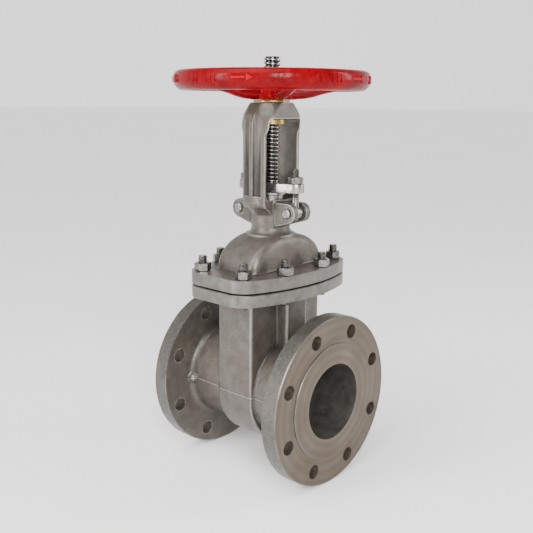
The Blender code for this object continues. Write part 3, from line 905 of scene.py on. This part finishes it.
def gate_disc():
    gate_r, deep = reach("wedge")[1].y, 70 * MM
    gate = as_object("gate_wedge", soften(rod(gate_r, -24 * MM, 24 * MM, "X", steps=128), 1 * MM), GATE)
    corners = ((-1, -deep), (1, -deep), (1, deep), (-1, deep))
    taper = put(plate([(s * (gate_half + z * TAPER), z) for s, z in corners], -deep, deep), STAND_XZ)
    carve(gate, as_object("taper", tidy(taper)), "INTERSECT")
    carve(gate, as_object("hub", soften(block((14 * MM, 19 * MM), 48 * MM, 80 * MM), 2 * MM)), "UNION")
    carve(gate, as_object("head_slot", block((40 * MM, 13.5 * MM), 61 * MM, 69.7 * MM)))
    carve(gate, as_object("neck_slot", block((40 * MM, 8.5 * MM), 63 * MM, 90 * MM)))
    for side in SIDES:
        groove = slide(block((4.6 * MM, 6 * MM), -deep, deep), y=side * 62.7 * MM)
        carve(gate, as_object("groove", groove))
    return smooth_shade(gate)


seats = {
    "seat_ring_front": seat_ring("seat_front_turned", 1),
    "seat_ring_back": seat_ring("seat_back_turned", -1),
}
gate = gate_disc()
print("gate:", len(gate.data.polygons), "faces")

# %% [markdown]
# ## Threads
# A thread is one pitch of tooth, spun while it climbs, so that the top of each turn lands on the bottom of
# the next. Merging those rows gives one unbroken surface, and two plane cuts square off its ends. The stem
# has a left-hand thread, so that the wheel opens counter-clockwise; studs and eyebolts are right-handed.

# %% A threaded length
def threaded(crest_r, depth, pitch, low, high, steps=20, hand=1, flat=0.12):
    """flat is the share of the pitch that the crest takes, and the root takes as much."""
    made = bmesh.new()
    root_r = crest_r - depth
    flank = (1 - 2 * flat) / 2 * pitch
    heights = (0, flat * pitch, flat * pitch + flank, 2 * flat * pitch + flank, pitch)
    radii = (crest_r, crest_r, root_r, root_r, crest_r)
    start = low - 1.5 * pitch
    points = [made.verts.new((r, 0, start + z)) for r, z in zip(radii, heights)]
    edges = [made.edges.new(pair) for pair in zip(points, points[1:])]
    turns = math.ceil((high - low) / pitch) + 3
    bmesh.ops.spin(
        made, geom=points + edges, cent=(0, 0, 0), axis=UP, dvec=(0, 0, pitch / steps),
        angle=hand * 2 * math.pi * turns, steps=steps * turns
    )
    bmesh.ops.remove_doubles(made, verts=made.verts, dist=0.01 * MM)
    for z, outward in ((low, -UP), (high, UP)):
        geometry = made.verts[:] + made.edges[:] + made.faces[:]
        bmesh.ops.bisect_plane(
            made, geom=geometry, dist=0.001 * MM, plane_co=(0, 0, z), plane_no=outward, clear_outer=True
        )
    bmesh.ops.holes_fill(made, edges=[e for e in made.edges if e.is_boundary], sides=0)
    return tidy(made)


def chamfered_ends(obj, radius, low, high, chamfer):
    """Turns both ends of a threaded bar down to a small cone."""
    over = 0.2 * MM
    profile = [(0, high), (radius - chamfer, high), (radius + over, high - chamfer - over)]
    profile += [(radius + over, low + chamfer + over), (radius - chamfer, low), (0, low)]
    return carve(obj, as_object("ends", turn(profile, 48)), "INTERSECT")


# %% [markdown]
# ## The stem
# The upper stem carries a trapezoidal thread of 5 mm pitch. Below it the stem is polished where it slides
# through the packing, and a cone-topped collar seals against the backseat when the valve is wide open. The
# flat head at the bottom hangs the gate.

# %% Stem
stem_r = 11 * MM
thread_low = 264 * MM


def stem_piece():
    high, foot = stem_high.z, thread_low - 5 * MM
    screw = threaded(stem_r, 2.4 * MM, 5 * MM, thread_low, high, steps=40, hand=-1, flat=0.28)
    thread = as_object("stem_threaded", screw)
    over = stem_r + 0.3 * MM
    top = [(0, high), (stem_r - 2.2 * MM, high), (over, high - 2.6 * MM), (over, foot), (0, foot)]
    carve(thread, as_object("top", turn(top, 48)), "INTERSECT")
    collar_r, collar_low, cone = 15 * MM, 86 * MM, 94.3 * MM
    neck_r, neck_low = 8 * MM, 67 * MM
    shaft = [(0, thread_low + 2 * MM), (8.2 * MM, thread_low + 2 * MM), (stem_r, thread_low - 0.5 * MM)]
    shaft += [(stem_r, cone + 4 * MM), (collar_r, cone), (collar_r, collar_low)]
    shaft += [(neck_r, collar_low), (neck_r, neck_low), (0, neck_low)]
    carve(thread, as_object("shaft", turn(shaft, 64)), "UNION")
    head = soften(block((12 * MM, 13.1 * MM), stem_low.z, 69.4 * MM), 1 * MM)
    carve(thread, as_object("head", head), "UNION")
    coat(thread, STEM)
    return smooth_shade(thread, 30)


stem = stem_piece()
print("stem:", len(stem.data.polygons), "faces")

# %% [markdown]
# ## Studs and nuts
# Each joint stud is threaded from end to end, with a cone at both ends. It is screwed through the body's
# flange, so its end just shows below, and there is a nut on the bonnet's side only. A nut is cut from
# hexagon bar: both ends are chamfered in the lathe, which leaves the familiar arc on each flat. All studs
# share one shape and so do all nuts of a size, with each copy moved to its own place.

# %% Fasteners
def nut_shape(name, across, bore, height):
    """A nut standing on z = 0, its ends chamfered by a double cone."""
    corner = across / math.sqrt(3)
    made = bmesh.new()
    bmesh.ops.create_cone(made, cap_ends=True, segments=6, radius1=corner, radius2=corner, depth=height)
    nut = as_object(name, slide(made, z=height / 2), FASTENER)
    edge, over = across / 2 * 0.97, corner + 0.5 * MM
    drop = (over - edge) * math.tan(math.radians(28))
    barrel = [(0, height), (edge, height), (over, height - drop), (over, drop), (edge, 0), (0, 0)]
    carve(nut, as_object("barrel", turn(barrel, 72)), "INTERSECT")
    mouth, past = 0.9 * MM, 1 * MM
    wide = bore + mouth + past
    tap = [(0, height + past), (wide, height + past), (bore, height - mouth), (bore, mouth)]
    carve(nut, as_object("tap", turn(tap + [(wide, -past), (0, -past)], 40)))
    return smooth_shade(heal(nut), 25)


def copy_to(shape, name, x, y, z, spin=0.0):
    """A copy with its place and turn in its mesh, as the frame's nodes have theirs."""
    obj = bpy.data.objects.new(name, shape.data.copy())
    bpy.context.scene.collection.objects.link(obj)
    obj.data.transform(Matrix.Translation((x, y, z)) @ Matrix.Rotation(spin, 4, "Z"))
    return obj


def joint_fasteners():
    """Returns {new piece: node it stands for}."""
    low, high, _ = reach("stud_1")
    nut_low, nut_high, _ = reach("joint_nut_1")
    stud = as_object("stud_shape", threaded(stud_r, 1.05 * MM, 1.75 * MM, low.z, high.z))
    chamfered_ends(stud, stud_r, low.z, high.z, 1.1 * MM)
    coat(stud, FASTENER)
    smooth_shade(stud, 30)
    nut = nut_shape("nut_shape", 19 * MM, stud_r - 0.1 * MM, nut_high.z - nut_low.z)
    made = {}
    for i, place in enumerate(STUD_PLACES, 1):
        made[copy_to(stud, f"threaded_stud_{i}", place.x, place.y, 0, 0.7 * i)] = f"stud_{i}"
        spin = math.radians(17 * i + 3)
        made[copy_to(nut, f"bonnet_nut_{i}", place.x, place.y, nut_low.z, spin)] = f"joint_nut_{i}"
    for shape in (stud, nut):
        bpy.data.objects.remove(shape)
    return made


fasteners = joint_fasteners()
print("joint fasteners:", len(fasteners))

# %% [markdown]
# ## The gland
# The packing is five rings of braided graphite. Pressed together they act as one soft column, so they are
# made as one turned piece with a groove at each joint.

# %% Packing
packing_low, packing_high = reach("packing_ring_1")[0].z, reach("packing_ring_5")[1].z


def packing():
    outer, inner, rings, groove, inset = 17.2 * MM, 11.3 * MM, 5, 0.7 * MM, 0.05 * MM
    pitch = (packing_high - packing_low) / rings
    profile = []
    for i in range(rings):
        foot, head = packing_low + i * pitch, packing_low + (i + 1) * pitch
        profile += [(outer - groove, foot + inset), (outer, foot + groove), (outer, head - groove)]
        profile += [(outer - groove, head - inset)]
    profile += [(inner, packing_high - inset), (inner, packing_low + inset)]
    return smooth_shade(as_object("packing_rings", turn(profile, 72), GRAPHITE), 30)


packing_column = packing()

# %% [markdown]
# Two hinged eyebolts pull a bright bar down on the follower, and the follower squeezes the packing round
# the stem. The bolts swing on pins through the lugs. Every edge of the bar has a small chamfer.

# %% Gland pieces
gland_low, gland_high, _ = reach("gland_flange")


def gland_bar():
    end_r, middle_r = 11.5 * MM, 20.5 * MM
    lean = math.degrees(math.acos((middle_r - end_r) / eye_x))
    quarter = arc(eye_x, 0, end_r, -lean, lean, 20) + arc(0, 0, middle_r, lean, 180 - lean, 12)
    made = plate(quarter + [(-u, -v) for u, v in quarter], gland_low.z, gland_high.z)
    bar = as_object("gland_bar", soften(made, 1.2 * MM, 3, 40), BRIGHT)
    below, above = 260 * MM, 290 * MM
    holes = [rod(11.8 * MM, below, above, steps=64)]
    holes += [rod(5.8 * MM, below, above, place=(side * eye_x, 0, 0)) for side in SIDES]
    return smooth_shade(carve(bar, together("bar_holes", holes)), 28)


def follower():
    low, high, _ = reach("gland_follower")
    head, head_r = high.z - 4.7 * MM, 20 * MM
    side, bore = stuffing_r - fit, 11.5 * MM
    profile = [(18.8 * MM, high.z), (head_r, high.z - 1.2 * MM), (head_r, head + 0.8 * MM), (19.2 * MM, head)]
    profile += [(side, head), (side, low.z + 1 * MM), (side - 1 * MM, low.z), (bore, low.z), (bore, high.z)]
    return smooth_shade(as_object("gland_follower_turned", turn(profile, 72), BRIGHT))


def eyebolt(name, side):
    """Modelled with the middle of its eye at the origin, then moved to its pin."""
    high = reach("eyebolt_front")[1]
    eye = as_object(name, soften(rod(eye_r, -high.y, high.y, "Y", steps=48), 1.0 * MM, 3))
    bolt_r, bolt_top = 5 * MM, high.z - eye_z
    shank_top = 262 * MM - eye_z
    neck = [(0, shank_top + 1 * MM), (4.9 * MM, shank_top + 1 * MM), (bolt_r, 10 * MM)] + mm((6, 7), (0, 7))
    carve(eye, as_object("shank", turn(neck, 32)), "UNION")
    thread = as_object("thread", threaded(bolt_r, 0.9 * MM, 1.5 * MM, shank_top - 0.4 * MM, bolt_top))
    chamfered_ends(thread, bolt_r, shank_top - 2 * MM, bolt_top, 1.0 * MM)
    carve(eye, thread, "UNION")
    carve(eye, as_object("eye", rod(pin_r + fit, -20 * MM, 20 * MM, "Y", steps=32)))
    coat(eye, FASTENER)
    eye.data.transform(Matrix.Translation((side * eye_x, 0, eye_z)))
    return smooth_shade(eye, 30)


def eye_pin(name, side):
    """A headed pin through the lug, its far end dressed to a cone."""
    low, high, _ = reach("eyebolt_pin_front")
    head_top, head_r = low.y + 3 * MM, 6.4 * MM
    profile = [(0, high.y), (pin_r - 1 * MM, high.y), (pin_r, high.y - 1 * MM), (pin_r, head_top)]
    profile += [(head_r, head_top), (head_r, low.y + 1.2 * MM), (5.0 * MM, low.y), (0, low.y)]
    pin = as_object(name, put(turn(profile, 40), ALONG["Y"]), BRIGHT)
    pin.data.transform(Matrix.Translation((side * eye_x, 0, eye_z)))
    return smooth_shade(pin)


def nut_on(name, node, across, bore, spin):
    low, high, middle = reach(node)
    nut = nut_shape(name, across, bore, high.z - low.z)
    nut.data.transform(Matrix.Translation((middle.x, 0, low.z)) @ Matrix.Rotation(spin, 4, "Z"))
    return nut


gland_pieces = {
    gland_bar(): ("gland", "gland_flange", "bright_steel"),
    follower(): ("gland", "gland_follower", "bright_steel"),
    eyebolt("eyebolt_front_threaded", 1): ("valve", "eyebolt_front", "fastener_steel"),
    eyebolt("eyebolt_back_threaded", -1): ("valve", "eyebolt_back", "fastener_steel"),
    eye_pin("eye_pin_front", 1): ("valve", "eyebolt_pin_front", "fastener_steel"),
    eye_pin("eye_pin_back", -1): ("valve", "eyebolt_pin_back", "fastener_steel"),
}
for end, spin in (("front", 0.2), ("back", 0.5)):
    nut = nut_on(f"gland_hex_nut_{end}", f"gland_nut_{end}", 17 * MM, 4.9 * MM, spin)
    gland_pieces[nut] = (f"gland_nut_{end}", f"gland_nut_{end}", "fastener_steel")
print("gland pieces:", len(gland_pieces))

# %% [markdown]
# ## The stem nut, the washer and the wheel's nut
# The brass nut turns in the yoke's cap. Its collar takes the thrust from below, and a brass washer keeps
# the iron wheel off the cap. Both are turned. A large hexagon nut holds the wheel down.

# %% Brass pieces and the wheel's nut
def stem_nut():
    low, high, _ = reach("stem_nut")
    top_r, step, collar, under = 13.5 * MM, 406.5 * MM, 19 * MM, window_top - fit
    bore, mouth = 11.3 * MM, 11.9 * MM
    profile = [(12.6 * MM, high.z), (top_r, high.z - 0.9 * MM), (top_r, step), (journal_r, step)]
    profile += [(journal_r, under), (collar - 0.7 * MM, under), (collar, under - 0.7 * MM)]
    profile += [(collar, low.z + 1 * MM), (collar - 1 * MM, low.z), (mouth, low.z), (bore, low.z + 0.8 * MM)]
    profile += [(bore, high.z - 0.6 * MM), (mouth, high.z)]
    nut = as_object("stem_nut_turned", turn(profile, 72), BRASS)
    keyway = slide(block((3.6 * MM, 2.5 * MM), 389 * MM, 412 * MM), x=16.4 * MM)
    return smooth_shade(carve(nut, as_object("keyway", keyway)))


def washer():
    low, high, _ = reach("thrust_washer")
    outer, inner = 24 * MM, journal_r + fit
    made = turn([(outer, high.z), (outer, low.z), (inner, low.z), (inner, high.z)], 72)
    return smooth_shade(as_object("thrust_washer_turned", soften(made, 0.4 * MM), BRASS))


top_pieces = {
    stem_nut(): ("wheel_set", "stem_nut", "brass"),
    washer(): ("valve", "thrust_washer", "brass"),
}
wheel_nut = nut_on("wheel_hex_nut", "handwheel_nut", 36 * MM, 13.6 * MM, 0.3)
top_pieces[wheel_nut] = ("wheel_set", "handwheel_nut", "fastener_steel")
print("top pieces:", len(top_pieces))

# %% [markdown]
# ## The handwheel
# The wheel is cast in one piece: a deep rim that a hand can grip from outside, five spokes that drop to
# the hub, and the hub itself. Each spoke is a cross-section carried along a bent line, wide and flat at
# the hub and deeper near the rim. The casting method above fuses them and leaves the fillets.

# %% Handwheel casting
mark_height = 0.6 * MM
wheel_r = wheel_high.x - mark_height
hub_r, hub_top = 26 * MM, 407 * MM
first_spoke = math.radians(42.4)
SPOKES = 5


def rim_profile():
    """The rim's section, listed down its outer side: fuller at the top than at the bottom."""
    top = wheel_high.z
    outer = ((11.5, 0), (7.0, 0.2), (3.6, 1.6), (1.5, 4.2), (0.4, 7.4), (0, 10.5), (0.2, 13.4), (1.0, 16.4))
    lower = ((2.4, 19.3), (4.6, 22.2), (7.4, 24.5), (10.4, 25.5), (15.5, 25.5))
    inner = ((19.0, 23.2), (20.7, 19.5), (21.0, 15.0), (21.0, 9.0), (20.2, 4.6), (18.2, 1.5), (15.2, 0))
    return [(wheel_r - inset * MM, top - down * MM) for inset, down in outer + lower + inner]


def spoke_shell(number):
    """A rounded section, bridged from station to station along the spoke's bent line."""
    stations = (  # distance from the axis, height of the middle, half width and half depth, all in mm
        (16, 396.2, 11.5, 8.8), (30, 395.8, 10.5, 8.4), (44, 396.2, 9.4, 7.8), (56, 398.6, 8.8, 7.6),
        (68, 402.2, 8.4, 7.5), (82, 405.4, 8.6, 7.6), (98, 407.6, 9.6, 8.2), (116, 409.0, 12.0, 9.0),
    )
    made = bmesh.new()
    loops = []
    for r, z, half_width, half_depth in ([value * MM for value in row] for row in stations):
        circle = bmesh.ops.create_circle(made, cap_ends=False, segments=20, radius=1)["verts"]
        stand = Matrix.Rotation(math.pi / 2, 4, "Y")
        size = Matrix.Diagonal((1, half_width, half_depth, 1))
        bmesh.ops.transform(made, matrix=Matrix.Translation((r, 0, z)) @ size @ stand, verts=circle)
        loops.append(list({e for v in circle for e in v.link_edges}))
    for near, far in zip(loops, loops[1:]):
        bmesh.ops.bridge_loops(made, edges=near + far)
    bmesh.ops.holes_fill(made, edges=[e for e in made.edges if e.is_boundary], sides=0)
    turned = Matrix.Rotation(first_spoke + 2 * math.pi * number / SPOKES, 4, "Z")
    return put(tidy(made), turned)


def handwheel():
    foot = wheel_low.z - stock
    hub = [(0, hub_top + stock), (hub_r - 3 * MM, hub_top + stock), (hub_r - 0.5 * MM, hub_top - 3 * MM)]
    hub += [(hub_r, wheel_low.z + 5 * MM), (hub_r + 1 * MM, foot), (0, foot)]
    shells = [turn(rim_profile(), 160), turn(hub, 64)] + [spoke_shell(i) for i in range(SPOKES)]
    wheel = cast("handwheel_casting", shells, 1.5 * MM, 4, RED, BRIGHT)
    wide, above = 150 * MM, 440 * MM
    faces = [(0, hub_top), (24 * MM, hub_top), (34 * MM, above), (wide, above)]
    faces += [(wide, wheel_low.z), (0, wheel_low.z)]
    carve(wheel, as_object("hub_faces", turn(faces, 96)), "INTERSECT", 0)
    below, above = 370 * MM, 420 * MM
    bore = rod(journal_r + fit, below, above, steps=64)
    keyway = slide(block((3.75 * MM, 2.5 * MM), below, above), x=13.75 * MM)
    carve(wheel, fuse("wheel_bore", [bore, keyway]), finish_index=1)
    return smooth_shade(wheel, 40)


wheel = handwheel()
print("handwheel:", len(wheel.data.polygons), "faces")

# %% [markdown]
# The rim's outer side carries raised marks from the pattern: short grip ribs, and plain arrows that show
# which way opens the valve. They are shallow shells bedded in the rim, cast with it and painted with it.

# %% Raised marks on the rim
bedded = 1.2 * MM


def on_rim(made, angle, height):
    """Stands a mark, modelled about the origin with its foot at X = -bedded, on the rim's outer side."""
    place = Matrix.Rotation(angle, 4, "Z") @ Matrix.Translation((wheel_r, 0, height))
    return put(made, place)


def grip_rib():
    half = (bedded + mark_height) / 2
    return soften(slide(block((half, 0.9 * MM), -5 * MM, 5 * MM), half - bedded), 0.5 * MM, 3)


def curled(flat):
    """Bends a flat mark that stands in Y and Z round the rim."""
    for cut in range(-14, 16, 2):
        geometry = flat.verts[:] + flat.edges[:] + flat.faces[:]
        bmesh.ops.bisect_plane(flat, geom=geometry, plane_co=(0, cut * MM, 0), plane_no=(0, 1, 0))
    for vert in flat.verts:
        vert.co.x -= wheel_r - math.sqrt(wheel_r ** 2 - vert.co.y ** 2)
    return flat


def arrow():
    outline = mm((-13, 1.3), (-13, -1.3), (5, -1.3), (5, -4.2), (13, 0), (5, 4.2), (5, 1.3))
    return curled(put(plate(outline, -bedded, mark_height), STAND_YZ))


def rim_marks():
    """The angles are in degrees from each spoke: one arrow, then the ribs in groups."""
    middle = 412.5 * MM
    made = []
    for i in range(SPOKES):
        spoke = math.degrees(first_spoke) + 360 / SPOKES * i
        made.append(on_rim(arrow(), math.radians(spoke - 34), middle))
        for step in (-56, -53, -50, -18, -15, -12, 6, 9):
            made.append(on_rim(grip_rib(), math.radians(spoke + step), middle))
    obj = together("rim_marks", made)
    coat(obj, RED)
    return smooth_shade(obj, 35)


marks = rim_marks()

# %% [markdown]
# ## Hand the pieces to the frame
# Each new piece rides on the body that carries it and stands for the node that it refines, which is
# hidden. The gasket, the backseat bush and the key are already the right shape, so they only get a finish.

# %% Ride and replace
def hand_over(piece, body_name, slot_name, *nodes):
    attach(piece, body_name)
    if nodes:
        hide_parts(*nodes)


hand_over(body, "valve", "cast_stainless", "body")
hand_over(bonnet, "valve", "cast_stainless", "bonnet")
hand_over(stem, "stem_and_gate", "stem_steel", "stem")
hand_over(gate, "stem_and_gate", "gate_face", "wedge")
hand_over(wheel, "wheel_set", "red_paint", "handwheel")
hand_over(marks, "wheel_set", "red_paint")
for node, ring in seats.items():
    hand_over(ring, "valve", "bright_steel", node)
for piece, node in fasteners.items():
    hand_over(piece, "valve", "fastener_steel", node)
for piece, (body_name, node, slot_name) in {**gland_pieces, **top_pieces}.items():
    hand_over(piece, body_name, slot_name, node)

hand_over(packing_column, "valve", "graphite", *[f"packing_ring_{i}" for i in range(1, 6)])
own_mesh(packing_column)

KEPT = {"backseat_bush": BRIGHT, "wheel_key": BRIGHT, "gasket": GRAPHITE}
for node, finish in KEPT.items():
    coat(frame["nodes"][node], finish)
print("kept nodes:", len(KEPT))

# %% [markdown]
# ## Floor, light and camera
# The valve stands on its flange rims, just above a pale floor. A broad soft light from above and the left
# gives most of the light. A tall narrow lamp on the left draws long highlights down the corners, a wider
# one in front opens the shaded faces, and a strip on the far right marks their edges. The pale surroundings
# fill the rest. The camera stands a metre off, level with the handwheel, and looks a little down.

# %% Floor
def pale_floor():
    made = bmesh.new()
    bmesh.ops.create_grid(made, x_segments=8, y_segments=8, size=40)
    bmesh.ops.translate(made, vec=(0, 0, body_low.z - 0.5 * MM), verts=made.verts)
    finish = Finish("pale_floor", 0.0)
    finish.colour(finish.ramp(finish.noise(400, 2), (0.3, (0.88,) * 3), (0.7, (0.91,) * 3)))
    finish.rough(finish.spread(finish.noise(200, 2), 0.80, 0.90))
    return as_object("floor", made, finish.material)


floor = pale_floor()
floor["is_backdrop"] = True

# %% Light
def aimed(name, light, place, aim):
    obj = bpy.data.objects.new(name, light)
    obj.location = place
    obj.rotation_euler = (Vector(aim) - Vector(place)).to_track_quat("-Z", "Y").to_euler()
    bpy.context.scene.collection.objects.link(obj)
    return obj


def soft_light(name, place, size, power):
    light = bpy.data.lights.new(name, "AREA")
    light.shape = "RECTANGLE"
    light.size, light.size_y = size
    light.energy = power
    return aimed(name, light, place, (0, 0, 0.15))


def broad_sun(name, place, strength, spread):
    light = bpy.data.lights.new(name, "SUN")
    light.energy = strength
    light.angle = math.radians(spread)
    return aimed(name, light, place, (0, 0, 0))


broad_sun("ceiling", (0.05, -0.85, 1.5), 3.9, 60)
soft_light("key_left", (-0.42, -1.50, 0.50), (0.28, 1.2), 22)
soft_light("front_fill", (1.35, -1.05, 0.80), (0.6, 0.9), 46)
soft_light("right_edge", (1.2, 1.2, 0.8), (0.25, 1.4), 16)

# %% [markdown]
# Metal shows its shape by what it mirrors. So the surroundings are not even: they are pale behind the valve
# and dimmer on the camera's side, and they darken overhead.

# %% Surroundings
def pale_room():
    world = bpy.data.worlds.new("pale_room")
    world.use_nodes = True
    tree = world.node_tree
    place = tree.nodes.new("ShaderNodeTexCoord").outputs["Object"]
    split = tree.nodes.new("ShaderNodeSeparateXYZ")
    across = tree.nodes.new("ShaderNodeVectorMath")
    across.operation = "DOT_PRODUCT"
    across.inputs[1].default_value = (-0.89, 0.45, 0)
    both = tree.nodes.new("ShaderNodeMath")
    both.operation = "MULTIPLY"
    tree.links.new(place, split.inputs["Vector"])
    tree.links.new(place, across.inputs[0])
    overhead = map_range(tree, split.outputs["Z"], 0.15, 0.70, 1.0, 0.35)
    behind = map_range(tree, across.outputs["Value"], -0.30, 0.90, 0.75, 1.63)
    tree.links.new(overhead, both.inputs[0])
    tree.links.new(behind, both.inputs[1])
    background = tree.nodes["Background"]
    tree.links.new(both.outputs["Value"], background.inputs["Strength"])
    background.inputs["Color"].default_value = (1, 1, 1, 1)
    bpy.context.scene.world = world


pale_room()

# %% Camera
def camera(place, yaw, pitch, roll, lens):
    ahead = Vector((math.cos(yaw) * math.cos(pitch), math.sin(yaw) * math.cos(pitch), math.sin(pitch)))
    right = Vector((math.sin(yaw), -math.cos(yaw), 0))
    above = right.cross(ahead)
    tilted_right = math.cos(roll) * right + math.sin(roll) * above
    tilted_up = -math.sin(roll) * right + math.cos(roll) * above
    data = bpy.data.cameras.new("camera")
    data.lens = lens
    data.sensor_width = 36
    data.clip_start = 0.01
    obj = bpy.data.objects.new("camera", data)
    bpy.context.scene.collection.objects.link(obj)
    turn_matrix = Matrix((tilted_right, tilted_up, -ahead)).transposed().to_4x4()
    obj.matrix_world = Matrix.Translation(place) @ turn_matrix
    bpy.context.scene.camera = obj
    return obj


view = camera((0.6829, -0.7550, 0.3868), math.radians(132.42), math.radians(-12.33), math.radians(0.44), 51.4)
print("camera at", [round(v, 3) for v in view.location])

# %% [markdown]
# Last, the visual model's box is printed beside the working model's box, to show whether the looks
# changed the object's size.

# %% Compare the boxes and finish
new_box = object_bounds()
for corner, was, now in zip(("low", "high"), cad_box, new_box):
    print(corner, [round(v / MM, 1) for v in was], "->", [round(v / MM, 1) for v in now])
